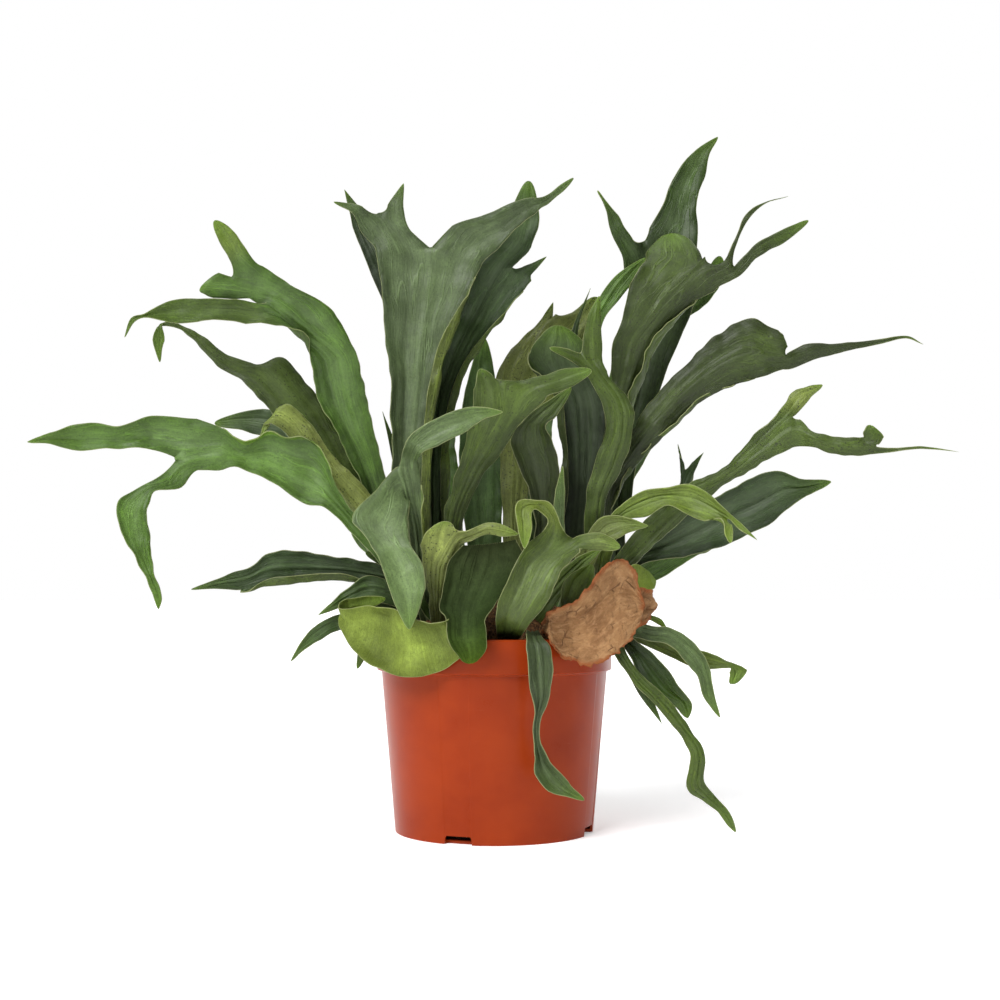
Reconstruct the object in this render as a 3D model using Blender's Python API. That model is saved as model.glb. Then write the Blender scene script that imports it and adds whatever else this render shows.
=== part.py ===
"""Staghorn fern growing in a plain round nursery pot.

Lengths in the tables are millimetres; the scene is in metres, +Z up, with the origin at the
centre of the pot's flat underside. Each frond is a curved strip: rows of left edge, right edge
and cup depth, joined by smooth curves, forked at the named gaps and thickened.
"""

import math

import bpy
import numpy as np

MM = 0.001
LEAF_THICKNESS = 1.9
HALF = LEAF_THICKNESS / 2
ROW_STEP = 25.0
STEM_COLUMNS = 4
SEAT_GAP = 0.44

POT_SIDES = 48
# outside and inside of the pot as (radius, height), from the underside's centre round to the floor
POT_OUTSIDE = [(77.5, 0.0), (79.5, 2.0), (91.0, 127.7), (94.4, 127.7), (95.0, 129.2), (95.0, 152.8), (94.2, 154.2)]
POT_INSIDE = [(93.0, 154.2), (92.8, 129.8), (88.9, 126.0), (77.6, 2.6)]
NOTCH_COUNT = 4
NOTCH_SIZE = (22.0, 12.0, 13.0)
NOTCH_FIRST_ANGLE = 250.0
SOIL_TOP = 141.0
SOIL_GAP = 0.3
RHIZOME_CENTRE = np.array([4.0, 0.0, 138.0])
RHIZOME_RADII = np.array([84.0, 76.0, 50.0])
RHIZOME_SIDES = 60
RHIZOME_RINGS = 12

COLOURS = {
    "pot": (0.397, 0.077, 0.031),
    "soil": (0.045, 0.03, 0.02),
    "rhizome": (0.11, 0.065, 0.035),
    "grey": (0.153, 0.195, 0.1),
    "olive": (0.09, 0.12, 0.035),
    "dark": (0.05, 0.075, 0.028),
    "lime": (0.25, 0.32, 0.05),
    "fresh": (0.17, 0.26, 0.05),
    "brown": (0.39, 0.22, 0.1),
    "pale": (0.26, 0.3, 0.14),
    "under": (0.1, 0.14, 0.045),
    "green": (0.06, 0.12, 0.025),
    "gloss": (0.03, 0.055, 0.02),
}


def blade(rows, tip=None, gaps=None, lobes=None):
    """A strip: rows of (left x, y, z, right x, y, z, cup), then a tip (x, y, z, power) or a fork."""
    return {"rows": rows, "tip": tip, "gaps": gaps, "lobes": lobes}


FRONDS = {
    "frond_front_left": ("grey", blade(
        [
            (-52, -23, 159, -42, -23, 158, 0), (-56, -26, 162, -43, -26, 160, 1),
            (-64, -40, 201, -50, -40, 201, 2), (-66, -52, 237, -55, -52, 238, 2),
            (-66, -59, 259, -58, -59, 291, 1),
        ],
        gaps=[(-73, -63, 287)],
        lobes=[
            blade(
                [
                    (-66, -71, 248, -89, -71, 269, 3), (-65, -84, 234, -107, -84, 247, 4),
                    (-62, -92, 224, -95, -92, 230, 4), (-54, -96, 212, -86, -96, 215, 5),
                    (-51, -99, 198, -80, -99, 197, 5), (-54, -99, 182, -72, -99, 179, 3),
                ],
                tip=(-63, -94, 162, 0.7),
            ),
            blade(
                [
                    (-68, -73, 306, -54, -73, 297, 2), (-51, -73, 319, -41, -73, 304, 3),
                    (-29, -74, 329, -24, -74, 312, 3), (-9, -72, 331, -7, -72, 324, 2),
                ],
                tip=(7, -68, 329, 0.7),
            ),
        ],
    )),
    "frond_front_centre": ("olive", blade(
        [
            (3, -63, 151, 17, -63, 151, 1), (2, -98, 171, 28, -98, 168, 3),
            (8, -102, 191, 43, -102, 190, 6), (16, -98, 211, 52, -98, 208, 6),
            (26, -92, 227, 63, -92, 220, 4),
        ],
        gaps=[(60, -84, 232)],
        lobes=[
            blade(
                [
                    (41, -88, 240, 52, -88, 237, 2), (33, -94, 251, 41, -94, 257, 2),
                    (28, -100, 249, 19, -100, 257, 3), (28, -104, 236, 17, -104, 242, 3),
                ],
                tip=(23, -104, 222, 0.8),
            ),
            blade(
                [
                    (75, -88, 235, 76, -88, 221, -2), (86, -90, 232, 87, -90, 221, 1),
                ],
                tip=(95, -90, 224, 0.5),
            ),
        ],
    )),
    "frond_trailing_front": ("grey", blade(
        [
            (36, 21, 160, 26, 21, 157, 1), (36, -100, 157, 24, -100, 157, 1),
            (41, -110, 150, 24, -110, 150, 2), (43, -112, 131, 25, -112, 130, 4),
            (41, -109, 114, 29, -109, 112, 3), (35, -106, 99, 30, -106, 99, 1),
            (34, -104, 87, 29, -104, 85, 1), (39, -105, 71, 29, -105, 69, 3),
            (46, -107, 60, 32, -107, 55, 4), (54, -108, 51, 40, -108, 45, 3),
        ],
        tip=(66, -108, 38, 0.7),
    )),
    "shield_dark": ("dark", blade(
        [
            (17, -70, 230, -24, -70, 226, 3), (23, -77, 216, -34, -77, 213, 6),
            (13, -83, 201, -39, -83, 190, 7), (3, -88, 183, -41, -88, 178, 5),
            (-5, -98, 171, -35, -98, 171, 4), (-5, -115, 157, -34, -115, 155, 4),
            (-6, -110, 147, -27, -110, 144, 3),
        ],
        tip=(-17, -98, 137, 0.45),
    )),
    "shield_lime": ("lime", blade(
        [
            (-13, -63, 149, -18, -63, 151, 0), (-19, -87, 160, -31, -87, 170, 1),
            (-23, -102, 144, -38, -102, 168, 2), (-35, -93, 133, -52, -93, 169, 4),
            (-60, -89, 126, -67, -89, 172, 6), (-86, -78, 132, -82, -78, 179, 7),
            (-109, -64, 146, -103, -64, 178, 8), (-121, -50, 168, -121, -50, 179, 4),
            (-112, -37, 170, -117, -37, 185, -3),
        ],
        tip=(-86, -31, 185, 0.5),
    )),
    "shield_small_green": ("fresh", blade(
        [
            (40, -48, 158, 46, -48, 157, 0), (51, -61, 179, 60, -61, 175, 0),
            (51, -67, 185, 69, -67, 183, 2), (55, -70, 199, 76, -70, 196, 3),
            (66, -68, 208, 77, -68, 205, 2),
        ],
        tip=(75, -64, 211, 0.5),
    )),
    "shield_brown": ("brown", blade(
        [
            (36, -44, 163, 40, -46, 153, 0), (36, -70, 169, 37, -70, 158, 1),
            (39, -92, 175, 40, -92, 153, 3), (47, -92, 179, 46, -92, 143, 6),
            (59, -88, 184, 57, -88, 137, 8), (72, -89, 196, 70, -89, 133, 10),
            (84, -87, 209, 84, -87, 136, 10), (99, -80, 216, 98, -80, 145, 8),
            (110, -71, 204, 109, -71, 158, 4),
        ],
        tip=(116, -66, 179, 0.45),
    )),
    "shield_brown_side": ("brown", blade(
        [
            (48, -48, 152, 48, -48, 150, 0), (74, -67, 172, 74, -67, 164, 1),
            (97, -65, 179, 97, -65, 169, 1), (111, -63, 193, 112, -63, 162, 3),
            (122, -55, 192, 121, -55, 167, 2),
        ],
        tip=(127, -45, 178, 0.45),
    )),
    "shield_lime_right": ("lime", blade(
        [
            (50, -44, 155, 50, -44, 152, 0), (75, -50, 181, 75, -50, 173, 1),
            (96, -43, 199, 99, -43, 188, 1), (109, -37, 212, 115, -37, 190, 2),
            (121, -26, 208, 126, -26, 192, 2),
        ],
        tip=(130, -13, 199, 0.5),
    )),
    "frond_front_wavy": ("pale", blade(
        [
            (-37, -37, 157, -48, -37, 157, 1), (-37, -52, 182, -51, -52, 182, 2),
            (-32, -60, 208, -54, -60, 209, 3), (-26, -64, 225, -57, -64, 226, 2),
        ],
        gaps=[(-28, -66, 238)],
        lobes=[
            blade(
                [
                    (-18, -68, 229, -21, -68, 237, 0), (-5, -70, 234, -5, -70, 243, 0),
                    (8, -70, 232, 8, -70, 241, 0),
                ],
                tip=(19, -70, 234, 0.7),
            ),
            blade(
                [
                    (-31, -68, 241, -51, -68, 237, 2),
                ],
                tip=(-39, -68, 244, 0.5),
            ),
        ],
    )),
    "frond_front_strap": ("olive", blade(
        [
            (14, -40, 162, 28, -40, 154, 0), (28, -54, 179, 39, -54, 168, 1),
            (46, -58, 199, 56, -58, 192, 1), (65, -58, 217, 74, -58, 212, 1),
        ],
        tip=(84, -58, 224, 0.7),
    )),
    "frond_left_long": ("green", blade(
        [
            (-36, -39, 157, -40, -39, 162, 0), (-42, -39, 160, -47, -39, 173, 1),
            (-80, -48, 202, -75, -48, 213, 1), (-106, -49, 231, -100, -49, 241, 1),
            (-131, -51, 255, -121, -51, 270, 2), (-148, -50, 259, -140, -50, 306, 4),
            (-163, -52, 270, -158, -52, 309, 5), (-181, -53, 280, -177, -53, 312, 5),
            (-200, -54, 287, -195, -54, 304, 3), (-217, -55, 285, -209, -55, 316, 3),
            (-229, -56, 285, -233, -56, 325, 3),
        ],
        gaps=[(-249, -58, 294)],
        lobes=[
            blade(
                [
                    (-242, -62, 272, -254, -62, 283, 1), (-262, -68, 267, -277, -68, 268, 2),
                    (-265, -72, 256, -288, -72, 260, 3), (-265, -74, 239, -288, -74, 244, 3),
                    (-263, -76, 220, -279, -76, 224, 3), (-257, -78, 200, -266, -78, 204, 2),
                    (-252, -80, 187, -259, -80, 190, 1),
                ],
                tip=(-254, -80, 177, 0.6),
            ),
            blade(
                [
                    (-269, -58, 301, -267, -58, 327, 3), (-298, -62, 301, -294, -62, 319, 3),
                    (-320, -66, 300, -317, -66, 320, 3), (-342, -70, 304, -338, -70, 314, 1),
                ],
                tip=(-359, -72, 305, 0.8),
            ),
        ],
    )),
    "frond_left_folded": ("pale", blade(
        [
            (-42, -24, 169, -49, -24, 163, 0), (-50, -23, 187, -59, -23, 174, 1),
            (-73, -27, 222, -86, -27, 208, 2), (-97, -31, 265, -115, -31, 247, 3),
            (-120, -33, 290, -137, -33, 274, 3), (-137, -32, 309, -155, -32, 298, 3),
            (-148, -34, 327, -166, -34, 317, 3), (-166, -36, 339, -178, -36, 325, 2),
        ],
        tip=(-185, -36, 315, 0.5),
    )),
    "frond_front_olive": ("under", blade(
        [
            (-24, -12, 166, -36, -12, 166, 1), (-27, -22, 208, -39, -22, 208, 2),
            (-25, -30, 248, -39, -30, 248, 3), (-10, -38, 279, -31, -38, 280, 4),
            (9, -44, 305, -23, -44, 306, 4), (22, -48, 323, -17, -48, 328, 4),
            (40, -50, 341, -16, -50, 349, 3),
        ],
        gaps=[(6, -50, 357)],
        lobes=[
            blade(
                [
                    (53, -52, 347, 36, -52, 359, 1), (67, -54, 354, 56, -54, 365, 1),
                ],
                tip=(76, -55, 364, 0.5),
            ),
            blade(
                [
                    (-2, -52, 361, -14, -52, 358, 0),
                ],
                tip=(-11, -52, 365, 0.6),
            ),
        ],
    )),
    "frond_front_curl": ("pale", blade(
        [
            (51, -17, 167, 59, -17, 165, 0), (57, -20, 181, 67, -20, 176, 1),
            (63, -34, 211, 77, -34, 207, 2), (73, -40, 233, 88, -40, 229, 2),
            (84, -42, 248, 98, -42, 232, 2), (101, -43, 249, 108, -43, 238, 2),
        ],
        tip=(121, -44, 242, 0.7),
    )),
    "frond_small_pale": ("grey", blade(
        [
            (47, -8, 170, 55, -8, 169, 0), (53, -10, 185, 63, -10, 184, 0),
            (48, -18, 232, 58, -18, 232, 1), (48, -22, 254, 56, -22, 255, 1),
            (50, -24, 272, 56, -24, 273, 1),
        ],
        tip=(55, -24, 291, 0.8),
    )),
    "frond_right_fresh": ("fresh", blade(
        [
            (59, -10, 162, 67, -10, 159, 0), (76, -12, 195, 85, -12, 189, 1),
            (82, -25, 225, 94, -25, 220, 1), (93, -34, 252, 103, -34, 245, 2),
            (113, -39, 267, 120, -39, 252, 3), (135, -42, 272, 138, -42, 258, 4),
            (157, -46, 273, 157, -46, 248, 5), (172, -52, 263, 164, -52, 245, 2),
        ],
        gaps=[(181, -56, 247)],
        lobes=[
            blade(
                [
                    (185, -58, 249, 184, -58, 245, 0), (195, -62, 239, 192, -62, 237, 0),
                ],
                tip=(203, -64, 230, 0.8),
            ),
            blade(
                [
                    (184, -60, 242, 175, -60, 247, 1), (184, -64, 234, 178, -64, 235, 1),
                ],
                tip=(182, -66, 228, 0.5),
            ),
        ],
    )),
    "frond_centre_pale": ("under", blade(
        [
            (68, -6, 160, 58, -6, 159, 0), (86, -6, 192, 74, -6, 190, 1),
            (87, -16, 232, 73, -16, 231, 2), (90, -24, 266, 74, -24, 266, 3),
            (101, -28, 289, 82, -28, 295, 3), (110, -32, 317, 88, -32, 321, 4),
            (108, -33, 343, 86, -33, 341, 3), (89, -33, 361, 73, -33, 366, 1),
        ],
        gaps=[(69, -34, 381)],
        lobes=[
            blade(
                [
                    (87, -35, 389, 71, -35, 394, 2), (85, -36, 409, 75, -36, 409, 2),
                ],
                tip=(84, -36, 426, 0.8),
            ),
            blade(
                [
                    (60, -37, 383, 57, -37, 376, 1),
                ],
                tip=(44, -39, 384, 0.5),
            ),
        ],
    )),
    "frond_centre_curved": ("olive", blade(
        [
            (35, 0, 176, 43, 0, 175, 0), (37, 0, 184, 47, 0, 182, 1), (32, -10, 226, 50, -10, 226, 3),
            (30, -16, 264, 49, -16, 262, 5), (20, -20, 291, 52, -20, 290, 6),
            (14, -22, 312, 46, -22, 312, 6), (20, -23, 325, 42, -23, 323, 4),
            (32, -22, 336, 50, -22, 332, 2),
        ],
        tip=(62, -20, 355, 0.6),
    )),
    "frond_right_curly": ("under", blade(
        [
            (70, -3, 158, 62, -3, 160, 0), (88, 0, 189, 80, 0, 192, 1), (106, -6, 206, 96, -6, 214, 2),
            (130, -14, 228, 115, -14, 241, 2), (155, -22, 253, 139, -22, 264, 3),
            (174, -26, 267, 158, -26, 278, 3), (193, -30, 282, 183, -30, 290, 3),
            (213, -34, 294, 203, -34, 310, 4), (235, -38, 303, 216, -38, 323, 3),
        ],
        gaps=[(237, -38, 329)],
        lobes=[
            blade(
                [
                    (246, -42, 305, 242, -42, 326, 3), (254, -45, 305, 250, -45, 317, 3),
                    (267, -48, 298, 262, -48, 312, 3), (285, -52, 296, 283, -52, 310, 2),
                    (292, -53, 297, 289, -53, 311, 1),
                ],
                gaps=[(298, -54, 304)],
                lobes=[
                    blade(
                        [
                            (311, -55, 299, 311, -55, 302, 0), (335, -60, 301, 335, -60, 303, 0),
                        ],
                        tip=(360, -64, 298, 0.9),
                    ),
                    blade(
                        [
                            (304, -56, 311, 288, -56, 315, 0),
                        ],
                        tip=(294, -56, 320, 0.5),
                    ),
                ],
            ),
            blade(
                [
                    (241, -36, 332, 231, -36, 339, 1), (251, -34, 343, 238, -34, 350, 2),
                ],
                tip=(262, -32, 355, 0.7),
            ),
        ],
    )),
    "frond_left_low": ("dark", blade(
        [
            (-34, -10, 168, -37, -10, 174, 0), (-39, -8, 179, -42, -8, 192, 1),
            (-77, -15, 192, -82, -15, 209, 2), (-111, -19, 200, -116, -19, 216, 3),
            (-139, -20, 200, -141, -20, 220, 3), (-161, -24, 198, -162, -24, 223, 4),
            (-183, -26, 196, -180, -26, 221, 3), (-199, -28, 193, -194, -28, 210, 2),
            (-222, -30, 193, -214, -30, 202, 1),
        ],
        tip=(-240, -32, 192, 0.8),
    )),
    "frond_left_small": ("dark", blade(
        [
            (-37, -13, 166, -40, -13, 172, 0), (-39, -13, 166, -42, -13, 179, 1),
            (-72, -21, 177, -77, -21, 196, 2), (-97, -26, 182, -102, -26, 203, 2),
            (-118, -30, 179, -118, -30, 191, 1),
        ],
        tip=(-139, -33, 172, 0.8),
    )),
    "frond_left_small_low": ("dark", blade(
        [
            (-41, -7, 163, -45, -7, 170, -2), (-44, -8, 164, -49, -8, 179, -4),
            (-76, -14, 172, -81, -14, 189, -3), (-101, -20, 160, -106, -20, 176, 1),
            (-123, -24, 160, -129, -24, 171, 1), (-138, -26, 152, -144, -26, 162, 1),
            (-148, -28, 147, -151, -28, 153, 1),
        ],
        tip=(-161, -30, 135, 0.8),
    )),
    "leaf_left_tiny": ("dark", blade(
        [
            (-50, -4, 162, -53, -4, 166, 0), (-54, -2, 164, -57, -2, 174, 0),
            (-87, 0, 169, -88, 0, 179, 0), (-104, 0, 159, -108, 0, 171, 0),
            (-103, 0, 142, -111, 0, 143, 0),
        ],
        tip=(-111, 0, 128, 0.5),
    )),
    "leaf_left_round": ("dark", blade(
        [
            (-37, -2, 169, -41, -2, 173, 0), (-41, -2, 179, -46, -2, 187, 0),
            (-73, -8, 193, -75, -8, 206, 1), (-91, -6, 210, -90, -6, 223, 1),
        ],
        tip=(-105, -2, 222, 0.5),
    )),
    "frond_centre_tall": ("grey", blade(
        [
            (-62, 15, 156, -49, 15, 155, 1), (-74, 10, 164, -58, 10, 162, 2),
            (-78, -3, 208, -55, -3, 206, 4), (-80, -13, 264, -53, -13, 264, 6),
            (-84, -16, 325, -51, -16, 323, 8), (-84, -16, 358, -46, -16, 358, 8),
            (-88, -15, 391, -39, -15, 388, 8), (-91, -13, 428, -26, -13, 426, 8),
            (-97, -11, 468, -12, -11, 457, 6),
        ],
        gaps=[(-52, -10, 474)],
        lobes=[
            blade(
                [
                    (-111, -8, 488, -68, -8, 486, 3),
                ],
                gaps=[(-96, -8, 503)],
                lobes=[
                    blade(
                        [
                            (-117, -10, 501, -109, -10, 507, 0),
                        ],
                        tip=(-132, -12, 510, 0.6),
                    ),
                    blade(
                        [
                            (-88, -8, 509, -75, -8, 507, 0),
                        ],
                        tip=(-75, -8, 527, 0.8),
                    ),
                ],
            ),
            blade(
                [
                    (-35, -8, 491, 1, -8, 471, 3), (-5, -4, 502, 17, -4, 488, 3),
                    (21, 0, 515, 34, 0, 506, 2), (42, 2, 519, 45, 2, 514, 1),
                    (55, 4, 529, 59, 4, 525, 0),
                ],
                tip=(66, 4, 535, 0.5),
            ),
        ],
    )),
    "frond_left_arching": ("green", blade(
        [
            (-52, 12, 165, -40, 12, 164, 1), (-58, 12, 171, -43, 12, 170, 2),
            (-84, 4, 216, -63, 4, 220, 3), (-101, -5, 257, -80, -5, 260, 4),
            (-118, -15, 301, -94, -15, 303, 5), (-141, -24, 343, -103, -24, 346, 6),
            (-146, -32, 371, -110, -32, 379, 6), (-147, -42, 391, -127, -42, 411, 3),
        ],
        gaps=[(-180, -50, 418)],
        lobes=[
            blade(
                [
                    (-200, -54, 403, -203, -54, 420, 3), (-226, -60, 401, -230, -60, 419, 3),
                    (-251, -64, 401, -253, -64, 416, 2), (-269, -68, 402, -272, -68, 406, 1),
                    (-278, -72, 398, -281, -72, 401, 0),
                ],
                tip=(-285, -74, 386, 0.6),
            ),
            blade(
                [
                    (-194, -44, 422, -162, -44, 434, 3), (-222, -48, 422, -184, -48, 448, 2),
                ],
                gaps=[(-208, -50, 439)],
                lobes=[
                    blade(
                        [
                            (-228, -50, 424, -218, -50, 442, 0),
                        ],
                        tip=(-232, -51, 430, 0.5),
                    ),
                    blade(
                        [
                            (-210, -50, 454, -198, -50, 464, 1), (-219, -52, 469, -207, -52, 476, 1),
                        ],
                        tip=(-221, -54, 483, 0.5),
                    ),
                ],
            ),
        ],
    )),
    "frond_right_long": ("under", blade(
        [
            (68, 10, 158, 61, 10, 159, 0), (89, 11, 190, 79, 11, 192, 1), (92, 5, 233, 80, 5, 239, 2),
            (96, -2, 263, 86, -2, 272, 3), (113, -9, 291, 110, -9, 317, 4),
            (135, -14, 315, 131, -14, 348, 5), (162, -18, 341, 160, -18, 379, 5),
            (189, -20, 356, 185, -20, 400, 5), (213, -22, 363, 205, -22, 410, 5),
            (233, -24, 369, 229, -24, 400, 3),
        ],
        gaps=[(235, -24, 380)],
        lobes=[
            blade(
                [
                    (257, -26, 376, 249, -26, 389, 2), (286, -30, 384, 278, -30, 389, 1),
                    (313, -34, 389, 310, -34, 392, 0), (330, -36, 392, 331, -36, 394, 0),
                ],
                tip=(342, -38, 387, 0.8),
            ),
            blade(
                [
                    (236, -24, 387, 232, -24, 395, 0),
                ],
                tip=(235, -24, 391, 0.5),
            ),
        ],
    )),
    "frond_left_olive": ("under", blade(
        [
            (-45, 18, 166, -53, 18, 163, 0), (-52, 18, 179, -62, 18, 172, 1),
            (-78, 13, 217, -91, 13, 207, 2), (-99, 7, 259, -119, 7, 249, 3),
            (-118, 1, 302, -146, 1, 290, 4), (-136, -4, 338, -171, -4, 322, 5),
            (-153, -6, 359, -188, -6, 345, 5), (-173, -8, 381, -203, -8, 359, 5),
            (-196, -10, 376, -221, -10, 371, 3), (-222, -12, 386, -237, -12, 386, 2),
            (-241, -14, 400, -250, -14, 399, 1), (-260, -16, 409, -261, -16, 405, 0),
            (-269, -18, 408, -272, -18, 405, 0), (-267, -20, 393, -277, -20, 394, 1),
        ],
        tip=(-271, -20, 376, 0.8),
    )),
    "frond_centre_dark": ("dark", blade(
        [
            (-52, 16, 165, -40, 16, 164, 0), (-55, 22, 167, -40, 22, 165, 1),
            (-57, 16, 217, -40, 16, 215, 2), (-58, 12, 266, -39, 12, 266, 3),
            (-56, 10, 316, -38, 10, 316, 4), (-50, 8, 357, -28, 8, 364, 4),
            (-38, 10, 399, -7, 10, 401, 5), (-25, 12, 433, 16, 12, 432, 5),
            (-14, 14, 461, 31, 14, 450, 4),
        ],
        gaps=[(15, 14, 463)],
        lobes=[
            blade(
                [
                    (1, 16, 482, 30, 16, 480, 3), (10, 18, 500, 37, 18, 498, 3),
                    (16, 20, 516, 37, 20, 514, 2),
                ],
                tip=(29, 22, 538, 0.5),
            ),
            blade(
                [
                    (25, 16, 463, 31, 16, 456, 0),
                ],
                tip=(44, 18, 472, 0.8),
            ),
        ],
    )),
    "frond_right_dark": ("dark", blade(
        [
            (68, 13, 157, 71, 13, 151, 0), (92, 18, 197, 96, 18, 184, 1),
            (105, 13, 220, 120, 13, 212, 3), (143, 9, 246, 161, 9, 220, 5),
            (183, 5, 269, 190, 5, 230, 6), (208, 3, 281, 222, 3, 244, 6),
            (232, 0, 289, 243, 0, 260, 4), (249, -2, 282, 255, -2, 269, 2),
        ],
        tip=(275, -4, 280, 0.8),
    )),
    "frond_right_olive": ("under", blade(
        [
            (67, 17, 157, 59, 17, 157, 0), (88, 22, 194, 78, 22, 192, 1),
            (93, 17, 242, 79, 17, 242, 2), (101, 12, 291, 86, 12, 291, 3),
            (114, 10, 347, 96, 10, 357, 4), (126, 10, 374, 97, 10, 378, 4),
            (137, 8, 399, 99, 8, 397, 4), (162, 4, 428, 105, 4, 413, 5), (182, 0, 438, 112, 0, 444, 4),
        ],
        gaps=[(174, 0, 467)],
        lobes=[
            blade(
                [
                    (197, -4, 447, 183, -4, 459, 1),
                ],
                gaps=[(198, -4, 458)],
                lobes=[
                    blade(
                        [
                            (219, -6, 467, 212, -6, 473, 1), (240, -8, 478, 230, -8, 484, 1),
                        ],
                        tip=(258, -10, 495, 0.5),
                    ),
                    blade(
                        [
                            (201, -4, 479, 198, -4, 480, 0), (212, -2, 500, 208, -2, 502, 0),
                            (226, 0, 512, 223, 0, 512, 0),
                        ],
                        tip=(244, 0, 518, 0.9),
                    ),
                ],
            ),
            blade(
                [
                    (178, 6, 459, 125, 6, 464, 2), (169, 16, 479, 129, 16, 477, 3),
                ],
                tip=(150, 24, 493, 0.5),
            ),
        ],
    )),
    "frond_right_strap": ("green", blade(
        [
            (59, 26, 155, 67, 26, 153, 0), (82, 35, 197, 92, 35, 192, 1),
            (76, 30, 251, 88, 30, 251, 1), (74, 27, 318, 87, 27, 318, 1),
            (74, 24, 376, 89, 24, 378, 1), (75, 21, 408, 90, 21, 413, 1),
            (87, 19, 435, 105, 19, 435, 1), (104, 17, 457, 119, 17, 455, 1),
        ],
        tip=(127, 18, 471, 0.6),
    )),
    "frond_back_dark": ("dark", blade(
        [
            (47, 22, 161, 61, 22, 161, 0), (56, 28, 179, 73, 28, 178, 1),
            (57, 24, 217, 80, 24, 217, 2), (58, 22, 257, 85, 22, 257, 3),
            (58, 20, 292, 90, 20, 290, 4), (56, 18, 325, 93, 18, 323, 5),
            (52, 16, 352, 91, 16, 352, 5), (38, 14, 373, 83, 14, 371, 4),
            (30, 10, 389, 79, 10, 388, 3), (38, 8, 402, 74, 8, 397, 2),
        ],
        tip=(54, 8, 411, 0.5),
    )),
    "frond_right_tall": ("green", blade(
        [
            (52, 42, 150, 58, 42, 149, 0), (94, 57, 195, 107, 57, 192, 1),
            (96, 36, 242, 111, 36, 242, 2), (101, 34, 293, 119, 34, 293, 3),
            (108, 32, 344, 133, 32, 344, 4), (116, 30, 395, 153, 30, 395, 5),
            (115, 28, 437, 169, 28, 435, 5), (109, 26, 467, 172, 26, 474, 4),
        ],
        gaps=[(127, 26, 488)],
        lobes=[
            blade(
                [
                    (99, 24, 493, 116, 24, 490, 1), (95, 22, 511, 104, 22, 508, 1),
                ],
                tip=(87, 20, 529, 0.9),
            ),
            blade(
                [
                    (132, 28, 499, 173, 28, 495, 4), (145, 32, 524, 172, 32, 518, 4),
                    (157, 36, 551, 180, 36, 548, 3), (174, 40, 571, 186, 40, 568, 1),
                ],
                tip=(193, 42, 583, 0.8),
            ),
        ],
    )),
    "frond_back_thin": ("dark", blade(
        [
            (-46, 29, 163, -40, 29, 163, 0), (-56, 36, 179, -47, 36, 179, 0),
            (-76, 34, 251, -68, 34, 251, 0), (-88, 34, 310, -81, 34, 308, 0),
        ],
        tip=(-95, 36, 343, 0.9),
    )),
    "frond_back_tall_left": ("dark", blade(
        [
            (-44, 33, 162, -32, 33, 161, 0), (-54, 42, 180, -39, 42, 179, 1),
            (-73, 44, 243, -56, 44, 243, 1), (-81, 46, 311, -60, 46, 311, 1),
            (-85, 50, 372, -61, 50, 372, 1), (-92, 54, 427, -68, 54, 434, 1),
            (-107, 56, 465, -80, 56, 476, 1), (-124, 60, 509, -102, 60, 506, 1),
        ],
        tip=(-132, 64, 543, 1),
    )),
    "frond_back_left": ("dark", blade(
        [
            (-31, 39, 164, -26, 39, 169, 0), (-38, 48, 184, -31, 48, 194, 1),
            (-77, 52, 228, -64, 52, 243, 1), (-129, 58, 280, -114, 58, 295, 1),
            (-177, 64, 318, -165, 64, 336, 1), (-215, 68, 329, -203, 68, 349, 2),
        ],
        tip=(-244, 70, 338, 0.5),
    )),
    "frond_right_behind": ("green", blade(
        [
            (49, 45, 150, 55, 45, 149, 0), (91, 63, 192, 103, 63, 189, 1),
            (85, 52, 252, 100, 52, 252, 1), (91, 54, 312, 109, 54, 312, 2),
            (101, 56, 364, 122, 56, 364, 2), (126, 58, 408, 157, 58, 419, 2),
            (165, 60, 447, 190, 60, 446, 2), (183, 62, 467, 200, 62, 469, 1),
        ],
        tip=(196, 62, 483, 0.45),
    )),
    "frond_back_spike": ("dark", blade(
        [
            (47, 48, 151, 50, 48, 151, 0), (77, 69, 183, 84, 69, 183, 0),
            (73, 55, 252, 81, 55, 252, 0), (70, 48, 320, 78, 48, 320, 0),
            (65, 50, 379, 73, 50, 379, 0), (66, 52, 414, 72, 52, 414, 0),
        ],
        tip=(83, 54, 453, 1),
    )),
    "frond_back_spiky": ("pale", blade(
        [
            (22, 41, 170, 10, 41, 170, 0), (25, 46, 178, 10, 46, 178, 1), (25, 50, 226, 8, 50, 226, 2),
            (30, 54, 278, 6, 54, 278, 3), (43, 58, 330, 3, 58, 330, 4), (65, 62, 370, 1, 62, 376, 4),
            (85, 66, 405, 15, 66, 401, 3),
        ],
        gaps=[(54, 66, 431)],
        lobes=[
            blade(
                [
                    (92, 68, 423, 70, 68, 437, 1),
                ],
                tip=(91, 70, 448, 0.5),
            ),
            blade(
                [
                    (50, 66, 427, 33, 66, 419, 0),
                ],
                tip=(51, 66, 443, 0.9),
            ),
        ],
    )),
    "frond_back_mid": ("dark", blade(
        [
            (-13, 44, 169, 4, 44, 169, 0), (-16, 52, 184, 5, 52, 182, 1),
            (-26, 57, 252, 6, 57, 252, 2), (-30, 62, 322, 7, 62, 322, 3),
            (-24, 66, 371, 1, 66, 371, 3),
        ],
        tip=(-9, 69, 412, 0.6),
    )),
    "frond_right_spikes": ("dark", blade(
        [
            (71, 7, 153, 75, 7, 149, 0), (96, 7, 198, 101, 7, 192, 0), (120, 6, 231, 126, 6, 225, 0),
            (143, 5, 261, 150, 5, 254, 0), (153, 5, 280, 162, 5, 281, 0),
        ],
        gaps=[(157, 7, 291)],
        lobes=[
            blade(
                [
                    (153, 9, 294, 157, 9, 297, 0),
                ],
                tip=(152, 12, 313, 1),
            ),
            blade(
                [
                    (164, 14, 298, 168, 14, 294, 0),
                ],
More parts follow.
